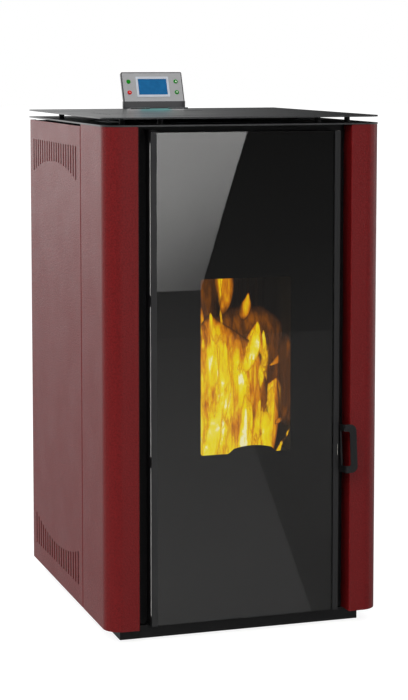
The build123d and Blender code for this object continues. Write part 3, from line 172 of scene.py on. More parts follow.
# Dark side of the studio in front of the stove, a little lighter towards the floor
reflector("dark_wall", [(14.0, -5, 7, .075, .075), (.85, -5, 7, .078, .078), (.415, -5, 7, .115, .115),
                        (.16, -5, 7, .155, .155), (0, -5, 7, .18, .18), (-.35, -5, 7, .22, .22),
                        (low_z, -5, 7, .24, .24)], upright(wall_y))
reflector("low_ground", [(-4.4, -9, 9, .14, .14), (16, -9, 9, .14, .14)], lying(low_z))

# Pale floor of the studio as the lower left of the glass shows it, with a slanting edge
reflector("pale_ground", [(.195, .6, 1.218, .245, .22), (0, .6, 1.288, .32, .28),
                          (-.35, .6, 1.412, .47, .40), (-1.0, .6, 1.644, .66, .53),
                          (low_z, .6, 1.857, .75, .60)], upright(card_y))

# Bright window-like lamp in the upper left of the glass
reflector("bright_lamp", [(.93, .75, 1.445, 3.2, 2.7), (.857, .75, 1.424, 3.2, 2.6),
                          (.585, .75, 1.337, 3.1, 1.9), (.415, .75, 1.286, 2.6, 1.25),
                          (.28, .75, 1.245, 1.95, .84), (.196, .75, 1.218, 1.65, .70)],
          upright(card_y))

# Tall narrow lamp that greys the flat front of the left column beside its darker rolled corner
reflector("column_lamp", [(low_z, .66, .97, 2.6, 2.6), (3.0, .66, .97, 3.2, 3.2)], upright(front_card_y))

# Grey ground, bright far wall and dark side, which the side panel shows at a grazing angle
reflector("side_ground", [(-1.6, -9, -.26, .36, .36), (side_wall_y, -9, -.26, .98, .98)], lying(0.0))
reflector("side_wall", [(0, -9, -1.2, 1.6, 1.6), (9, -9, -1.2, 1.6, 1.6)], upright(side_wall_y))
reflector("dark_side", [(low_z, -4.4, 2.4, .03, .12), (14, -4.4, 2.4, .03, .12)],
          lambda y, z: (side_x, y, z))

# Far side of the studio, which the flat top shows at a grazing angle: bright left, dark right
for name, left, right, level_left, level_right in (("far_wall_left", -.1, .5, 1.0, .5),
                                                   ("far_wall_middle", .5, .8, .5, .17),
                                                   ("far_wall_right", .8, 1.2, .17, 0),
                                                   ("far_wall_dark", 1.2, 4.5, 0, 0)):
    reflector(name, [(z, left, right, level_left, level_right) for z in (.6, 4.0)], upright(far_wall_y))

# Painted reflections of the display's pale face and its lit screen: glowing cards that the top plate in
# front of them shows
reflector("painted_face_reflection", [(z, -.068, .068, 1.1, 1.1) for z in (1.050, 1.074)], upright(.302))
reflector("painted_screen_reflection", [(z, -.036, .036, 1.6, 1.6) for z in (1.050, 1.074)], upright(.300), "7fdcd4")

lamp_target = Vector((0, 0, .5))
for name, energy, place in (("soft_lamp", 108, (-2.2, -3.2, 3.4)), ("side_lamp", 33, (-4.2, .4, 1.6))):
    lamp = bpy.data.lights.new(name, "AREA")
    lamp.shape = "RECTANGLE"
    lamp.size = 3.0
    lamp.size_y = 2.5
    lamp.energy = energy
    lamp_object = bpy.data.objects.new(name, lamp)
    lamp_object.location = place
    lamp_object.rotation_euler = (lamp_target - lamp_object.location).to_track_quat("-Z", "Y").to_euler()
    lamp_object.visible_glossy = False
    bpy.context.scene.collection.objects.link(lamp_object)

camera = bpy.data.cameras.new("camera")
camera.lens = 100.775
camera.sensor_width = 36
camera.shift_x = -0.0029
camera.shift_y = -0.1547
camera_object = bpy.data.objects.new("camera", camera)
camera_object.location = (-1.27896, -3.98522, 1.16536)
camera_object.rotation_euler = (pi / 2 - 0.09411, 0, -0.31554)
bpy.context.scene.collection.objects.link(camera_object)
bpy.context.scene.camera = camera_object
bpy.context.scene.view_settings.view_transform = "Standard"

# ---------------------------------------------------------------- plinth and levelling feet
# A skirt of folded steel sheet with a black textured powder coat, set back under the casing. The feet
# are zinc-plated steel pads on threaded stems; their nuts carry the skirt. The scale of a pattern is
# 1000 over its size in millimetres, as the coordinates are in metres.


def powder_coat(name, pale, dark, grain, roughness, specular, relief=0.00006):
    """Polyester powder coat on sheet steel: a matt film whose orange peel mottles colour and sheen."""
    material, tree, output = shader_tree(name)
    place = add_node(tree, "ShaderNodeTexCoord").outputs["Object"]
    peel = add_node(tree, "ShaderNodeTexNoise",
                    {"Vector": place, "Scale": 1000 / grain, "Detail": 2.5, "Roughness": 0.65})
    cloud = add_node(tree, "ShaderNodeTexNoise", {"Vector": place, "Scale": 1000 / 90, "Detail": 2.0})
    mottle = add_node(tree, "ShaderNodeMapRange",
                      {"Value": peel.outputs["Fac"], "From Min": 0.36, "From Max": 0.64})
    tint = add_node(tree, "ShaderNodeMix",
                    {0: mottle.outputs["Result"], 6: hex_colour(dark), 7: hex_colour(pale)},
                    data_type="RGBA")
    sheen = add_node(tree, "ShaderNodeMapRange",
                     {"Value": cloud.outputs["Fac"], "From Min": 0.3, "From Max": 0.7,
                      "To Min": roughness - 0.03, "To Max": roughness + 0.03})
    bump = add_node(tree, "ShaderNodeBump",
                    {"Height": peel.outputs["Fac"], "Strength": 0.5, "Distance": relief})
    shader = add_node(tree, "ShaderNodeBsdfPrincipled",
                      {"Base Color": tint.outputs[2], "Roughness": sheen.outputs["Result"],
                       "Specular IOR Level": specular, "Normal": bump.outputs["Normal"]})
    tree.links.new(shader.outputs[0], output.inputs["Surface"])
    return material


def plated_steel(name, pale, dark, streak, roughness):
    """Zinc-plated or bright steel: a soft metal shine with faint drawing lines and cloudy zinc."""
    material, tree, output = shader_tree(name)
    place = add_node(tree, "ShaderNodeTexCoord").outputs["Object"]
    drawn = add_node(tree, "ShaderNodeMapping", {"Vector": place, "Scale": (1.0, 0.12, 1.0)})
    lines = add_node(tree, "ShaderNodeTexNoise",
                     {"Vector": drawn.outputs["Vector"], "Scale": 1000 / streak, "Detail": 3.0})
    tint = add_node(tree, "ShaderNodeMix",
                    {0: lines.outputs["Fac"], 6: hex_colour(dark), 7: hex_colour(pale)},
                    data_type="RGBA")
    rough = add_node(tree, "ShaderNodeMapRange",
                     {"Value": lines.outputs["Fac"],
                      "To Min": roughness - 0.06, "To Max": roughness + 0.08})
    shader = add_node(tree, "ShaderNodeBsdfPrincipled",
                      {"Base Color": tint.outputs[2], "Metallic": 1.0,
                       "Roughness": rough.outputs["Result"]})
    tree.links.new(shader.outputs[0], output.inputs["Surface"])
    return material


def finish(material, *names):
    """Gives CAD nodes this material in their own slots."""
    for name in names:
        for place in nodes[name].material_slots:
            place.material = material


black_coat = powder_coat("black_powder_coat", "1c1c1d", "111112", 3.0, 0.46, 0.3)
zinc = plated_steel("zinc_plated_steel", "b9bcc0", "8b8f93", 3.0, 0.34)
finish(black_coat, "plinth")
finish(zinc, "levelling_feet")

# ---------------------------------------------------------------- chassis base and screws
# Galvanised sheet that carries the inside, with the frost-like crystals of hot-dip zinc. The panels'
# screws are pan heads with a cross recess, all alike.


def galvanised(name):
    """Hot-dip galvanised sheet: flat crystals 6 to 12 mm across, each with its own grey and shine."""
    material, tree, output = shader_tree(name)
    place = add_node(tree, "ShaderNodeTexCoord").outputs["Object"]
    crystals = add_node(tree, "ShaderNodeTexVoronoi", {"Vector": place, "Scale": 1000 / 9})
    grey = add_node(tree, "ShaderNodeSeparateColor", {"Color": crystals.outputs["Color"]})
    tint = add_node(tree, "ShaderNodeMix",
                    {0: grey.outputs["Red"], 6: hex_colour("8d9296"), 7: hex_colour("b4b8bb")},
                    data_type="RGBA")
    rough = add_node(tree, "ShaderNodeMapRange",
                     {"Value": grey.outputs["Green"], "To Min": 0.34, "To Max": 0.5})
    shader = add_node(tree, "ShaderNodeBsdfPrincipled",
                      {"Base Color": tint.outputs[2], "Metallic": 1.0,
                       "Roughness": rough.outputs["Result"]})
    tree.links.new(shader.outputs[0], output.inputs["Surface"])
    return material


def screw_tree(material):
    """Geometry Nodes: a pan head with a cross recess on every point, facing the back."""
    tree = bpy.data.node_groups.new("pan_head_screws", "GeometryNodeTree")
    tree.interface.new_socket("Points", in_out="INPUT", socket_type="NodeSocketGeometry")
    for label, size in (("Head Radius", 0.004), ("Head Height", 0.0022), ("Recess Width", 0.0011),
                        ("Recess Depth", 0.0012)):
        socket = tree.interface.new_socket(label, in_out="INPUT", socket_type="NodeSocketFloat")
        socket.default_value = size
    tree.interface.new_socket("Screws", in_out="OUTPUT", socket_type="NodeSocketGeometry")
    given = add_node(tree, "NodeGroupInput").outputs
    head = add_node(tree, "GeometryNodeMeshCylinder",
                    {"Vertices": 24, "Radius": given["Head Radius"], "Depth": given["Head Height"]})
    recess_length = 1.3
    length = add_node(tree, "ShaderNodeMath", {0: given["Head Radius"], 1: recess_length},
                      operation="MULTIPLY")
    depth = add_node(tree, "ShaderNodeMath", {0: given["Recess Depth"], 1: 2.0}, operation="MULTIPLY")
    along = add_node(tree, "ShaderNodeCombineXYZ", {0: length.outputs[0], 1: given["Recess Width"],
                                                    2: depth.outputs[0]})
    over = add_node(tree, "ShaderNodeCombineXYZ", {0: given["Recess Width"], 1: length.outputs[0],
                                                   2: depth.outputs[0]})
    half = add_node(tree, "ShaderNodeMath", {0: given["Head Height"], 1: 0.5}, operation="MULTIPLY")
    rise = add_node(tree, "ShaderNodeCombineXYZ", {2: half.outputs[0]})
    cutters = []
    for size in (along, over):
        bar = add_node(tree, "GeometryNodeMeshCube", {"Size": size.outputs[0]})
        cutters.append(add_node(tree, "GeometryNodeTransform",
                                {"Geometry": bar.outputs["Mesh"], "Translation": rise.outputs[0]}))
    cut = add_node(tree, "GeometryNodeMeshBoolean", {"Mesh 1": head.outputs["Mesh"]},
                   operation="DIFFERENCE")
    for cutter in cutters:
        tree.links.new(cutter.outputs[0], cut.inputs["Mesh 2"])
    facing_back = (-pi / 2, 0.4, 0)
    shaped = add_node(tree, "GeometryNodeTransform",
                      {"Geometry": cut.outputs["Mesh"], "Rotation": facing_back})
    placed = add_node(tree, "GeometryNodeInstanceOnPoints",
                      {"Points": given["Points"], "Instance": shaped.outputs[0]})
    real = add_node(tree, "GeometryNodeRealizeInstances", {"Geometry": placed.outputs[0]})
    painted = add_node(tree, "GeometryNodeSetMaterial",
                       {"Geometry": real.outputs[0], "Material": material})
    add_node(tree, "NodeGroupOutput", {"Screws": painted.outputs[0]})
    return tree


def made_by_nodes(name, tree, sizes, vertices, faces=()):
    """Runs a node tree on a few points or faces and keeps the result as a plain mesh."""
    mesh = bpy.data.meshes.new(name)
    mesh.from_pydata(vertices, [], list(faces))
    piece = bpy.data.objects.new(name, mesh)
    bpy.context.scene.collection.objects.link(piece)
    modifier = piece.modifiers.new("shape", "NODES")
    modifier.node_group = tree
    for item in tree.interface.items_tree:
        if item.in_out == "INPUT" and item.name in sizes:
            modifier[item.identifier] = sizes[item.name]
    view = bpy.context.evaluated_depsgraph_get()
    result = bpy.data.meshes.new_from_object(piece.evaluated_get(view))
    piece.modifiers.clear()
    piece.data = result
    return piece


galvanised_sheet = galvanised("galvanised_steel_sheet")
finish(galvanised_sheet, "chassis_base")
head_radius = 0.004
half_head_height = 0.0011
screws_per_side = 5
bracket_screw_x = 0.030
bracket_screw_z = 0.995
low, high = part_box("rear_screws")
screw_y = high.y - half_head_height
screw_step = (high.z - low.z - 2 * head_radius) / (screws_per_side - 1)
screw_points = [(x, screw_y, low.z + head_radius + i * screw_step)
                for x in (low.x + head_radius, high.x - head_radius) for i in range(screws_per_side)]
screw_points += [(x, screw_y, bracket_screw_z) for x in (-bracket_screw_x, bracket_screw_x)]
screws = made_by_nodes("panel_screws", screw_tree(zinc), {"Head Radius": head_radius}, screw_points)
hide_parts("rear_screws")
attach(screws, "stove")

# ---------------------------------------------------------------- casing panels and columns
# Sheet steel in a deep burgundy powder coat. The columns' front corners are rolled, so each is shown by
# a merged copy with the roll shaded smooth; the side panels are shown as they are, punched vents and all.


def smooth_copy(node, material, body, sharp_from=35, weld=0.000002):
    """A merged copy of a CAD node, its curves shaded smooth and its flats left flat, stands for it."""
    mesh = nodes[node].data.copy()
    mesh.name = node + "_smooth"
    merged = bmesh.new()
    merged.from_mesh(mesh)
    bmesh.ops.remove_doubles(merged, verts=merged.verts, dist=weld)
    merged.to_mesh(mesh)
    merged.free()
    mesh.materials.clear()
    mesh.materials.append(material)
    mesh.shade_smooth()
    mesh.set_sharp_from_angle(angle=radians(sharp_from))
    piece = bpy.data.objects.new(node + "_smooth", mesh)
    bpy.context.scene.collection.objects.link(piece)
    weighted = piece.modifiers.new("flats_stay_flat", "WEIGHTED_NORMAL")
    weighted.keep_sharp = True
    view = bpy.context.evaluated_depsgraph_get()
    piece.data = bpy.data.meshes.new_from_object(piece.evaluated_get(view))
    piece.modifiers.clear()
    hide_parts(node)
    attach(piece, body)


burgundy_coat = powder_coat("burgundy_powder_coat", "751416", "620e10", 3.4, 0.32, 0.28, 0.0018)
finish(burgundy_coat, "side_panel_left", "side_panel_right")
smooth_copy("corner_column_left", burgundy_coat, "stove")
smooth_copy("corner_column_right", burgundy_coat, "stove")

# ---------------------------------------------------------------- front frame and rear panel
# The black frame stands back between the columns and carries the door; the rear panel is bare galvanised
# sheet with holes for the two pipes and the inlet.
finish(black_coat, "front_frame")
finish(galvanised_sheet, "rear_panel")

# ---------------------------------------------------------------- firebox, liner and baffle
# Welded steel plate in a matt heat-resistant paint, greyed by ash near the fire. The liner is ribbed cast
# iron with sand-cast skin and soot; the baffle is a board of pressed vermiculite.


def sooty(name, pale, dark, grain, roughness, relief):
    """A rough dark skin, cast or painted, with soot in cloudy patches some 80 mm across."""
    material, tree, output = shader_tree(name)
    place = add_node(tree, "ShaderNodeTexCoord").outputs["Object"]
    sand = add_node(tree, "ShaderNodeTexNoise",
                    {"Vector": place, "Scale": 1000 / grain, "Detail": 4.0, "Roughness": 0.7})
    soot = add_node(tree, "ShaderNodeTexNoise", {"Vector": place, "Scale": 1000 / 80, "Detail": 3.0})
    both = add_node(tree, "ShaderNodeMath", {0: sand.outputs["Fac"], 1: soot.outputs["Fac"]},
                    operation="MULTIPLY")
    share = add_node(tree, "ShaderNodeMapRange",
                     {"Value": both.outputs[0], "From Min": 0.12, "From Max": 0.4})
    tint = add_node(tree, "ShaderNodeMix",
                    {0: share.outputs["Result"], 6: hex_colour(dark), 7: hex_colour(pale)},
                    data_type="RGBA")
    bump = add_node(tree, "ShaderNodeBump",
                    {"Height": sand.outputs["Fac"], "Strength": 0.8, "Distance": relief})
    shader = add_node(tree, "ShaderNodeBsdfPrincipled",
                      {"Base Color": tint.outputs[2], "Roughness": roughness,
                       "Normal": bump.outputs["Normal"]})
    tree.links.new(shader.outputs[0], output.inputs["Surface"])
    return material


stove_paint = sooty("heat_resistant_paint", "3a3836", "1c1b1a", 1.5, 0.7, 0.00008)
cast_iron = sooty("cast_iron", "45413d", "1e1c1a", 2.2, 0.62, 0.00025)
vermiculite = sooty("vermiculite_board", "b09a72", "7d6a49", 3.5, 0.92, 0.0004)
finish(stove_paint, "firebox", "smoke_duct")
finish(cast_iron, "firebox_liner")
finish(vermiculite, "baffle_plate")

# ---------------------------------------------------------------- burn pot, igniter and ash drawer
# The cast pot hangs in the grate floor by its rim. A cartridge heater in bright steel points at its rear
# hole, and a folded drawer under the grate catches the ash.
bright_steel = plated_steel("bright_drawn_steel", "c3c6ca", "8f9296", 2.0, 0.26)
finish(cast_iron, "burn_pot")
finish(bright_steel, "igniter")
finish(galvanised_sheet, "ash_drawer")

# ---------------------------------------------------------------- pellets and embers
# Pressed-wood pellets, 6 mm thick, heaped in the pot and glowing orange where they burn. They are
# scattered with a fixed seed and realised as one mesh.


def glowing_wood(name):
    """Burning wood pellets: charred black, with an orange glow in patches about 12 mm across."""
    material, tree, output = shader_tree(name)
    place = add_node(tree, "ShaderNodeTexCoord").outputs["Object"]
    heat = add_node(tree, "ShaderNodeTexNoise", {"Vector": place, "Scale": 1000 / 12, "Detail": 3.0})
    share = add_node(tree, "ShaderNodeMapRange",
                     {"Value": heat.outputs["Fac"], "From Min": 0.4, "From Max": 0.6})
    glow = add_node(tree, "ShaderNodeMix",
                    {0: share.outputs["Result"], 6: hex_colour("3a0c02"), 7: hex_colour("ffae2c")},
                    data_type="RGBA")
    shader = add_node(tree, "ShaderNodeBsdfPrincipled",
                      {"Base Color": hex_colour("241a14"), "Roughness": 0.9,
                       "Emission Color": glow.outputs[2], "Emission Strength": 1.0})
    tree.links.new(shader.outputs[0], output.inputs["Surface"])
    return material


def pellet_tree(material):
    """Geometry Nodes: short cylinders turned every way on random points of the heap."""
    tree = bpy.data.node_groups.new("pellet_heap", "GeometryNodeTree")
    tree.interface.new_socket("Heap", in_out="INPUT", socket_type="NodeSocketGeometry")
    for label, size in (("Pellet Radius", 0.003), ("Pellet Length", 0.014), ("Density", 42000.0)):
        socket = tree.interface.new_socket(label, in_out="INPUT", socket_type="NodeSocketFloat")
        socket.default_value = size
    tree.interface.new_socket("Seed", in_out="INPUT", socket_type="NodeSocketInt").default_value = 7
    tree.interface.new_socket("Pellets", in_out="OUTPUT", socket_type="NodeSocketGeometry")
    given = add_node(tree, "NodeGroupInput").outputs
    points = add_node(tree, "GeometryNodeDistributePointsOnFaces",
                      {"Mesh": given["Heap"], "Density": given["Density"], "Seed": given["Seed"]})
    pellet = add_node(tree, "GeometryNodeMeshCylinder",
                      {"Vertices": 8, "Radius": given["Pellet Radius"], "Depth": given["Pellet Length"]})
    any_way = (6.3, 6.3, 6.3)
    turn = add_node(tree, "FunctionNodeRandomValue", {"Max": any_way, "Seed": given["Seed"]},
                    data_type="FLOAT_VECTOR")
    placed = add_node(tree, "GeometryNodeInstanceOnPoints",
                      {"Points": points.outputs["Points"], "Instance": pellet.outputs["Mesh"],
                       "Rotation": turn.outputs["Value"]})
    real = add_node(tree, "GeometryNodeRealizeInstances", {"Geometry": placed.outputs[0]})
    painted = add_node(tree, "GeometryNodeSetMaterial",
                       {"Geometry": real.outputs[0], "Material": material})
    add_node(tree, "NodeGroupOutput", {"Pellets": painted.outputs[0]})
    return tree


heap_half_width = 0.026
heap_half_depth = 0.021
crown_below_rim = 0.018
heap_fall = 0.010
half_grid = 3
grid = 2 * half_grid + 1
low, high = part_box("burn_pot")
pot_x = (low.x + high.x) / 2
pot_y = (low.y + high.y) / 2
crown_z = high.z - crown_below_rim
shares = [i / half_grid for i in range(-half_grid, half_grid + 1)]
heap = [(pot_x + heap_half_width * u, pot_y + heap_half_depth * v, crown_z - heap_fall * (u * u + v * v))
        for u in shares for v in shares]
heap_faces = [(i, i + grid, i + grid + 1, i + 1)
              for i in range(grid * (grid - 1)) if i % grid < grid - 1]
pellets = made_by_nodes("burning_pellets", pellet_tree(glowing_wood("glowing_wood_pellets")),
                        {"Pellet Radius": 0.003, "Density": 42000.0, "Seed": 7}, heap, heap_faces)
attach(pellets, "burn_pot")

# ---------------------------------------------------------------- fire
# Flames rise from the pot: thin closed lenses of hot gas, palest where they are thickest, before a brown
# glow of thin gas. Each follows its own spine of points: sideways place, height and half width in mm.


def hot_gas(name, clear_below, full_above):
    """Wood flame: brown, orange, yellow, nearly white as it thickens, in upright streaks of 14 mm."""
    material, tree, output = shader_tree(name)
    place = add_node(tree, "ShaderNodeTexCoord").outputs["Object"]
    level = add_node(tree, "ShaderNodeAttribute", attribute_name="warmth").outputs["Fac"]
    for spacing, stretch, least, most in ((14, 0.2, 0.43, 1.24), (60, 0.5, 0.58, 1.15)):
        drawn = add_node(tree, "ShaderNodeMapping", {"Vector": place, "Scale": (1.0, 1.0, stretch)})
        streak = add_node(tree, "ShaderNodeTexNoise",
                          {"Vector": drawn.outputs["Vector"], "Scale": 1000 / spacing, "Detail": 4.0,
                           "Roughness": 0.6, "Distortion": 0.5})
        swing = add_node(tree, "ShaderNodeMapRange",
                         {"Value": streak.outputs["Fac"], "From Min": 0.33, "From Max": 0.67,
                          "To Min": least, "To Max": most})
        level = add_node(tree, "ShaderNodeMath", {0: level, 1: swing.outputs["Result"]},
                         operation="MULTIPLY", use_clamp=True).outputs[0]
    ramp = add_node(tree, "ShaderNodeValToRGB", {"Fac": level})
    stops = ((0.0, "2a1606"), (0.14, "4a2808"), (0.28, "915000"), (0.42, "cb7800"), (0.56, "dea000"),
             (0.7, "e8c400"), (0.84, "ecd800"), (0.94, "eede48"), (1.0, "f4eeb8"))
    for position, code in stops[1:-1]:
        ramp.color_ramp.elements.new(position)
    for element, (position, code) in zip(ramp.color_ramp.elements, stops):
        element.position = position
        element.color = hex_colour(code)
    cover = add_node(tree, "ShaderNodeMapRange",
                     {"Value": level, "From Min": clear_below, "From Max": full_above},
                     interpolation_type="SMOOTHSTEP")
    glow = add_node(tree, "ShaderNodeEmission", {"Color": ramp.outputs["Color"], "Strength": 1.0})
    clear = add_node(tree, "ShaderNodeBsdfTransparent")
    mix = add_node(tree, "ShaderNodeMixShader",
                   {0: cover.outputs["Result"], 1: clear.outputs[0], 2: glow.outputs[0]})
    tree.links.new(mix.outputs[0], output.inputs["Surface"])
    return material


def spine_point(spine, share):
    """Place, height and half width at a share of a spine, on a smooth curve through its points."""
    at = share * (len(spine) - 1)
    i = min(int(at), len(spine) - 2)
    t = at - i
    before = spine[max(i - 1, 0)]
    after = spine[min(i + 2, len(spine) - 1)]
    return [0.5 * (2 * b + (c - a) * t + (2 * a - 5 * b + 4 * c - d) * t * t
                   + (3 * b - a - 3 * c + d) * t ** 3)
            for a, b, c, d in zip(before, spine[i], spine[i + 1], after)]


casing_front = -0.32958


def flames(name, depth, edge, material, tongues):
    """A group of flames this many mm behind the casing front; each is a closed lens around its spine."""
    columns = 8
    rows_per_point = 6
    layers = 4
    layer_gap = 4.0
    root_height = 350
    least_half_width = 0.4
    thickness = 0.16
    fade_rate = 5
    weld = 0.00001
    vertices = []
    faces = []
    warmth = []
    for number, (hottest, spine) in enumerate(tongues):
        rows = rows_per_point * len(spine)
        y = casing_front + (depth + layer_gap * (number % layers)) / 1000
        rooted = spine[0][1] < root_height
        start = len(vertices)
        for row in range(rows):
            share = row / rows
            x, z, wide = spine_point(spine, share)
            wide = max(wide, least_half_width)
            fade = min(1.0, fade_rate * (1 - share), 1.0 if rooted else fade_rate * share)
            for side in (-1, 1):
                for column in range(columns + 1):
                    u = 2 * column / columns - 1
                    swell = (1 - u * u) * wide * thickness
                    vertices.append(((x + u * wide) / 1000, y + side * swell / 1000, z / 1000))
                    warmth.append(hottest * (1 - abs(u) ** edge) * fade)
        ring = 2 * (columns + 1)
        for row in range(rows - 1):
            for side in (0, 1):
                for column in range(columns):
                    a = start + row * ring + side * (columns + 1) + column
                    quad = (a, a + 1, a + ring + 1, a + ring)
                    faces.append(quad if side == 0 else quad[::-1])
        for share, row, turned in ((0, 0, False), (1, rows - 1, True)):
            x, z = spine_point(spine, share)[:2]
            tip = len(vertices)
            vertices.append((x / 1000, y, z / 1000))
            warmth.append(hottest if rooted and share == 0 else 0.0)
            for side in (0, 1):
                for column in range(columns):
                    a = start + row * ring + side * (columns + 1) + column
                    faces.append((tip, a, a + 1) if (side == 0) == turned else (tip, a + 1, a))
    piece = mesh_piece(name, vertices, faces, material)
    attribute = piece.data.attributes.new("warmth", "FLOAT", "POINT")
    attribute.data.foreach_set("value", warmth)
    shape = bmesh.new()
    shape.from_mesh(piece.data)
    bmesh.ops.remove_doubles(shape, verts=shape.verts, dist=weld)
    bmesh.ops.recalc_face_normals(shape, faces=shape.faces)
    shape.to_mesh(piece.data)
    shape.free()
    piece.data.shade_smooth()
    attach(piece, "stove")


thin_gas = hot_gas("thin_wood_flame", 0.02, 0.16)
thick_gas = hot_gas("thick_wood_flame", 0.4, 0.68)
flames("thin_glow", 240, 4, thin_gas, [
    (0.24, [(68, 424, 132), (69, 446, 132), (70, 470, 132), (72, 540, 128), (74, 585, 112),
            (80, 620, 72), (84, 645, 30)]),
    (0.22, [(-28, 540, 40), (-34, 610, 56), (-30, 690, 60), (-26, 760, 54), (-24, 800, 30)])
])
flames("side_glow", 130, 4, thin_gas, [
    (0.20, [(134, 392, 14), (133, 430, 22), (132, 500, 22), (130, 560, 18), (128, 600, 6)])
])
flames("back_flames", 205, 3, thin_gas, [
    (0.90, [(24, 334, 92), (26, 400, 96), (26, 460, 96), (24, 520, 92), (18, 560, 74), (2, 592, 46),
            (-8, 614, 20), (-12, 630, 4)]),
    (0.95, [(84, 420, 30), (86, 480, 36), (86, 530, 36), (88, 566, 26), (92, 590, 13), (94, 608, 3)]),
    (0.80, [(112, 334, 26), (116, 380, 30), (120, 430, 30), (126, 465, 20), (136, 480, 8),
            (142, 490, 2)]),
    (0.80, [(-52, 400, 26), (-52, 470, 30), (-46, 540, 28), (-36, 586, 20), (-28, 618, 10),
            (-26, 648, 2)]),
    (0.66, [(17, 624, 4), (22, 645, 12), (22, 675, 21), (20, 704, 23), (18, 735, 20), (16, 762, 8)]),
    (0.66, [(64, 612, 5), (66, 628, 13), (70, 646, 13), (74, 662, 5), (76, 672, 2)]),
    (0.60, [(124, 512, 4), (140, 520, 12), (152, 534, 13), (161, 556, 3)]),
    (0.62, [(132, 396, 12), (146, 430, 15), (150, 452, 11), (143, 488, 2)]),
    (0.62, [(138, 388, 4), (144, 397, 8), (149, 403, 2)])
])
flames("middle_flames", 160, 2, thick_gas, [
    (1.12, [(3, 550, 15), (1, 602, 8), (-2, 640, 5), (-3, 676, 9), (-4, 706, 10), (-5, 734, 8),
            (-6, 762, 3)]),
    (0.98, [(-6, 560, 16), (-14, 598, 14), (-20, 622, 9), (-24, 644, 2)]),
    (0.95, [(-34, 540, 9), (-40, 588, 7), (-44, 616, 5), (-45, 642, 1)]),
    (1.05, [(90, 440, 16), (95, 500, 17), (99, 531, 14), (100, 562, 10), (97, 586, 5), (96, 602, 1)])
])
flames("front_flames", 120, 2, thick_gas, [
    (1.22, [(-40, 336, 24), (-36, 384, 28), (-27, 426, 28), (-14, 469, 26), (-6, 514, 22), (-9, 556, 18),
            (-15, 590, 12), (-14, 622, 3)]),
    (1.05, [(-60, 336, 14), (-58, 400, 16), (-56, 452, 12), (-54, 500, 7), (-55, 536, 2)]),
    (1.18, [(94, 336, 20), (88, 385, 24), (90, 433, 22), (99, 468, 16), (108, 492, 8), (113, 510, 2)]),
    (1.02, [(40, 336, 24), (44, 390, 24), (46, 436, 17), (47, 474, 9), (46, 504, 2)]),
    (1.18, [(22, 496, 13), (38, 530, 23), (53, 562, 24), (61, 592, 16), (64, 614, 7), (65, 632, 2)]),
    (0.98, [(6, 345, 16), (4, 420, 20), (2, 484, 21), (5, 536, 17), (9, 568, 8), (11, 588, 2)]),
    (1.00, [(68, 336, 18), (66, 372, 18), (68, 412, 13), (72, 446, 6), (74, 466, 2)]),
    (1.00, [(110, 338, 9), (121, 358, 9), (133, 378, 6), (145, 401, 1)])
])

# ---------------------------------------------------------------- hopper, chute and auger
# Folded galvanised hopper and auger tube, a steel screw worn bright by the pellets, and a gearmotor in
# grey-black enamel at its lower end.
motor_coat = powder_coat("motor_enamel", "3b3d40", "2b2c2f", 2.5, 0.45, 0.4)
finish(galvanised_sheet, "hopper", "auger_tube", "feed_chute")
finish(bright_steel, "auger_screw")
finish(motor_coat, "gearmotor")

# ---------------------------------------------------------------- smoke fan, flue and air intake
# The fan's housing and the flue spigot are sheet steel in black heat-resistant paint. The air pipe is
# galvanised, and the fan's wheel is bare steel.
smooth_copy("flue_spigot", stove_paint, "stove")
smooth_copy("air_intake", galvanised_sheet, "stove")
finish(stove_paint, "smoke_fan_housing")
finish(bright_steel, "smoke_fan_wheel")
finish(motor_coat, "smoke_fan_motor")

# ---------------------------------------------------------------- room fan
# Crossflow blower of galvanised sheet with its motor at one end, and a drum of thin steel blades.
finish(galvanised_sheet, "room_fan_housing")
finish(bright_steel, "room_fan_drum")

# ---------------------------------------------------------------- electrics
# Glass-fibre circuit boards under green lacquer, and the inlet and rocker switch in moulded black plastic
# with a fine spark-eroded texture.


def circuit_board(name):
    """Green solder lacquer over glass fibre, with paler copper tracks 2 mm apart under it."""
    material, tree, output = shader_tree(name)
    place = add_node(tree, "ShaderNodeTexCoord").outputs["Object"]
    tracks = add_node(tree, "ShaderNodeTexBrick",
                      {"Vector": place, "Scale": 1000 / 8, "Color1": hex_colour("1f5a34"),
                       "Color2": hex_colour("1a4f2d"), "Mortar": hex_colour("3c7a4e"),
                       "Mortar Size": 0.06})
    shader = add_node(tree, "ShaderNodeBsdfPrincipled",
                      {"Base Color": tracks.outputs["Color"], "Roughness": 0.35})
    tree.links.new(shader.outputs[0], output.inputs["Surface"])
    return material


def moulded_plastic(name, pale, dark, grain, roughness, specular=0.5):
    """Moulded ABS, foil or pad print: an even colour with the fine eroded grain of a mould."""
    material, tree, output = shader_tree(name)
    place = add_node(tree, "ShaderNodeTexCoord").outputs["Object"]
    eroded = add_node(tree, "ShaderNodeTexNoise", {"Vector": place, "Scale": 1000 / grain, "Detail": 2.0})
    tint = add_node(tree, "ShaderNodeMix",
                    {0: eroded.outputs["Fac"], 6: hex_colour(dark), 7: hex_colour(pale)},
                    data_type="RGBA")
    bump = add_node(tree, "ShaderNodeBump",
                    {"Height": eroded.outputs["Fac"], "Strength": 0.4, "Distance": 0.00004})
    shader = add_node(tree, "ShaderNodeBsdfPrincipled",
                      {"Base Color": tint.outputs[2], "Roughness": roughness,
                       "Specular IOR Level": specular, "Normal": bump.outputs["Normal"]})
    tree.links.new(shader.outputs[0], output.inputs["Surface"])
    return material


board_lacquer = circuit_board("green_circuit_board")
black_plastic = moulded_plastic("black_abs", "202022", "161617", 0.8, 0.5)
finish(board_lacquer, "control_board", "display_board")
finish(black_plastic, "power_inlet", "switch_frame", "switch_rocker")

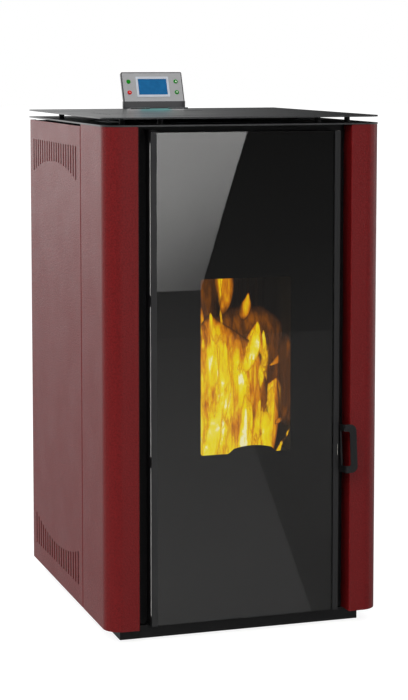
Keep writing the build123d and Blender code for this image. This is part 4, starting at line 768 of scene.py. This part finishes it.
# ---------------------------------------------------------------- top plates and hopper lid
# Two 3 mm steel plates on round spacers, in a fine dark grey textured coat. The upper one is cut with
# rows of small curved slots; the lid in it is the same plate on a pin hinge.
top_coat = powder_coat("grey_textured_coat", "3c3d3e", "262728", 3.0, 0.34, 0.5, 0.00009)
# The lower plate takes the upper plate's paler grey coat; it also paints light into the shaded strip of
# it seen between the plates
finish(top_coat, "lower_top_plate")
finish(black_coat, "plate_posts")
smooth_copy("upper_top_plate", top_coat, "stove")
smooth_copy("hopper_lid", top_coat, "lid")
finish(bright_steel, "lid_hinge_pins")

# ---------------------------------------------------------------- display
# A moulded housing on a steel bracket carries a grey face plate, a pale bezel with the blue screen, and
# four round buttons: green for on, red for off, and two green ones to set the heat.


def lit_screen(name):
    """Backlit blue liquid crystal under clear acrylic, a little brighter in the middle of its rows."""
    material, tree, output = shader_tree(name)
    place = add_node(tree, "ShaderNodeTexCoord").outputs["Object"]
    rows = add_node(tree, "ShaderNodeTexNoise", {"Vector": place, "Scale": 1000 / 14, "Detail": 1.0})
    blue = add_node(tree, "ShaderNodeMix",
                    {0: rows.outputs["Fac"], 6: hex_colour("114d7a"), 7: hex_colour("1b6192")},
                    data_type="RGBA")
    shader = add_node(tree, "ShaderNodeBsdfPrincipled",
                      {"Base Color": blue.outputs[2], "Roughness": 0.12,
                       "Emission Color": blue.outputs[2], "Emission Strength": 0.25})
    tree.links.new(shader.outputs[0], output.inputs["Surface"])
    return material


dark_plastic = moulded_plastic("dark_grey_abs", "3a3a3c", "2c2c2e", 1.2, 0.42)
grey_plastic = moulded_plastic("grey_face_foil", "a9a9aa", "9a9a9c", 1.5, 0.5)
silver_plastic = moulded_plastic("silver_bezel_abs", "c9ced6", "b9bfc8", 1.0, 0.3)
green_plastic = moulded_plastic("green_button_abs", "0c8e16", "087c10", 1.0, 0.35, 0.2)
red_plastic = moulded_plastic("red_button_abs", "d80f16", "c20a10", 1.0, 0.35, 0.2)
finish(black_coat, "display_bracket")
finish(dark_plastic, "display_housing")
finish(grey_plastic, "display_face")
finish(silver_plastic, "screen_bezel")
finish(lit_screen("blue_screen"), "screen")
for button, plastic, slot in (("button_on", green_plastic, "green_button"),
                              ("button_off", red_plastic, "red_button"),
                              ("button_up", green_plastic, "green_button"),
                              ("button_down", green_plastic, "green_button")):
    smooth_copy(button, plastic, button)

# Raised white marks on three of the buttons: a bar for off, arrows for more and less heat
white_print = moulded_plastic("white_pad_print", "f2f2ee", "e6e6e2", 1.0, 0.4)
face_tilt = radians(22)
outward = Vector((0, -cos(face_tilt), sin(face_tilt)))
upward = Vector((0, sin(face_tilt), cos(face_tilt)))
mark_foot = 0.00292
mark_top = 0.00312
for button, outline in (("button_off", ((-1.7, -0.4), (1.7, -0.4), (1.7, 0.4), (-1.7, 0.4))),
                        ("button_up", ((-2.2, -1.5), (2.2, -1.5), (0.0, 2.4))),
                        ("button_down", ((-2.2, 1.5), (0.0, -2.4), (2.2, 1.5)))):
    low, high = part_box(button)
    centre = (low + high) / 2
    corners = [centre + outward * rise + Vector((x / 1000, 0, 0)) + upward * (y / 1000)
               for rise in (mark_foot, mark_top) for x, y in outline]
    count = len(outline)
    sides = [(i, (i + 1) % count, count + (i + 1) % count, count + i) for i in range(count)]
    ends = [tuple(range(count))[::-1], tuple(range(count, 2 * count))]
    mark = mesh_piece(button + "_mark", corners, sides + ends, white_print)
    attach(mark, button)

# ---------------------------------------------------------------- door
# Clear ceramic glass over the whole front, enamelled black on its back except for the window, held by two
# folded side channels on a steel pan. Glass tape and a braided rope of glass fibre seal it.


def ceramic_glass(name):
    """Clear glass-ceramic, polished on both faces, with the faint grey of its melt."""
    material, tree, output = shader_tree(name)
    place = add_node(tree, "ShaderNodeTexCoord").outputs["Object"]
    melt = add_node(tree, "ShaderNodeTexNoise", {"Vector": place, "Scale": 1000 / 150})
    tint = add_node(tree, "ShaderNodeMix",
                    {0: melt.outputs["Fac"], 6: hex_colour("f4f2ee"), 7: hex_colour("faf9f6")},
                    data_type="RGBA")
    shader = add_node(tree, "ShaderNodeBsdfPrincipled",
                      {"Base Color": tint.outputs[2], "Roughness": 0.0, "IOR": 1.5,
                       "Transmission Weight": 1.0})
    tree.links.new(shader.outputs[0], output.inputs["Surface"])
    return material


def fired_enamel(name):
    """Black ceramic enamel fired on the back of the glass; the glass in front gives all the shine."""
    material, tree, output = shader_tree(name)
    place = add_node(tree, "ShaderNodeTexCoord").outputs["Object"]
    dots = add_node(tree, "ShaderNodeTexNoise", {"Vector": place, "Scale": 1000 / 2})
    tint = add_node(tree, "ShaderNodeMix",
                    {0: dots.outputs["Fac"], 6: hex_colour("050505"), 7: hex_colour("0a0a0a")},
                    data_type="RGBA")
    shader = add_node(tree, "ShaderNodeBsdfPrincipled",
                      {"Base Color": tint.outputs[2], "Roughness": 0.6, "Specular IOR Level": 0.0})
    tree.links.new(shader.outputs[0], output.inputs["Surface"])
    return material


def braided_fibre(name, pale, dark, yarn, relief):
    """Glass-fibre braid: two sets of yarns that cross at 45 degrees, each yarn a rounded ridge."""
    # Length in millimetres of one wave at scale 1
    wave_length = 314
    material, tree, output = shader_tree(name)
    place = add_node(tree, "ShaderNodeTexCoord").outputs["Object"]
    heights = []
    for turn in (pi / 4, -pi / 4):
        laid = add_node(tree, "ShaderNodeMapping", {"Vector": place, "Rotation": (0, turn, 0)})
        ridge = add_node(tree, "ShaderNodeTexWave",
                         {"Vector": laid.outputs["Vector"], "Scale": wave_length / yarn})
        heights.append(ridge.outputs["Fac"])
    woven = add_node(tree, "ShaderNodeMath", {0: heights[0], 1: heights[1]}, operation="MAXIMUM")
    tint = add_node(tree, "ShaderNodeMix",
                    {0: woven.outputs[0], 6: hex_colour(dark), 7: hex_colour(pale)}, data_type="RGBA")
    bump = add_node(tree, "ShaderNodeBump",
                    {"Height": woven.outputs[0], "Strength": 0.9, "Distance": relief})
    shader = add_node(tree, "ShaderNodeBsdfPrincipled",
                      {"Base Color": tint.outputs[2], "Roughness": 0.85,
                       "Normal": bump.outputs["Normal"]})
    tree.links.new(shader.outputs[0], output.inputs["Surface"])
    return material


# The sheet of glass with ground edges, a hair in front of the enamel
enamel_gap = 0.00005
edge_bevel = 0.0006
low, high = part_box("door_glass")
glass_piece = mesh_piece("door_glass_sheet", [], [], ceramic_glass("clear_ceramic_glass"))
sheet = bmesh.new()
bmesh.ops.create_cube(sheet, size=1.0)
for corner in sheet.verts:
    share = corner.co + Vector((0.5, 0.5, 0.5))
    corner.co = (low.x + share.x * (high.x - low.x),
                 low.y + share.y * (high.y - low.y - enamel_gap),
                 low.z + share.z * (high.z - low.z))
bmesh.ops.bevel(sheet, geom=sheet.edges[:], offset=edge_bevel, segments=2, affect="EDGES")
bmesh.ops.recalc_face_normals(sheet, faces=sheet.faces)
sheet.to_mesh(glass_piece.data)
sheet.free()
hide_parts("door_glass")
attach(glass_piece, "door")
channel_coat = powder_coat("channel_coat", "202021", "181819", 2.5, 0.36, 0.5)
finish(black_coat, "door_pan", "hinge_lugs", "strike")
finish(channel_coat, "glass_channel_left", "glass_channel_right")
finish(fired_enamel("black_fired_enamel"), "glass_enamel")
finish(braided_fibre("glass_fibre_tape", "e6e3d8", "bdb8aa", 1.6, 0.0002), "glass_tape")
finish(braided_fibre("glass_fibre_rope", "77756f", "3f3d3a", 3.2, 0.0007), "rope_seal")
finish(bright_steel, "hinge_pins")

# Grey beads of glass-fibre braid in the three long side slots of each channel, a hair proud at the left
slots = 3
end_bridge = 0.020
middle_bridge = 0.022
end_gap = 0.0002
root = -0.0009
bead_points = []
bead_faces = []
for channel, outward, proud in (("glass_channel_left", -1, 0.0004), ("glass_channel_right", 1, 0.0)):
    low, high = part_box(channel)
    side = high.x if outward > 0 else low.x
    length = (high.z - low.z - 2 * end_bridge - (slots - 1) * middle_bridge) / slots
    shoulder = 0.8 * proud
    section = [(root, 0.0026), (0.0, 0.0027), (shoulder, 0.0036), (proud, 0.0052),
               (shoulder, 0.0069), (0.0, 0.0078), (root, 0.0079)]
    count = len(section)
    for number in range(slots):
        foot = low.z + end_bridge + number * (length + middle_bridge)
        first = len(bead_points)
        last = first + count
        for z in (foot + end_gap, foot + length - end_gap):
            bead_points += [(side + outward * x, low.y + y, z) for x, y in section]
        for i in range(count):
            after = (i + 1) % count
            bead_faces.append((first + i, first + after, last + after, last + i))
        bead_faces += [tuple(range(first, last)), tuple(range(last, last + count))]
beads = mesh_piece("edge_gasket", bead_points, bead_faces,
                   braided_fibre("grey_glass_fibre_bead", "c2c2c0", "a0a09d", 1.6, 0.0002))
shape = bmesh.new()
shape.from_mesh(beads.data)
bmesh.ops.recalc_face_normals(shape, faces=shape.faces)
shape.to_mesh(beads.data)
shape.free()
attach(beads, "door")

# ---------------------------------------------------------------- handle and bolt
# A folded loop of black-coated steel plate that turns on a shouldered bolt at the door's edge.
handle_coat = powder_coat("handle_coat", "1b1b1c", "101011", 2.5, 0.4, 0.4)
smooth_copy("handle", handle_coat, "handle")
smooth_copy("handle_bolt", bright_steel, "door")
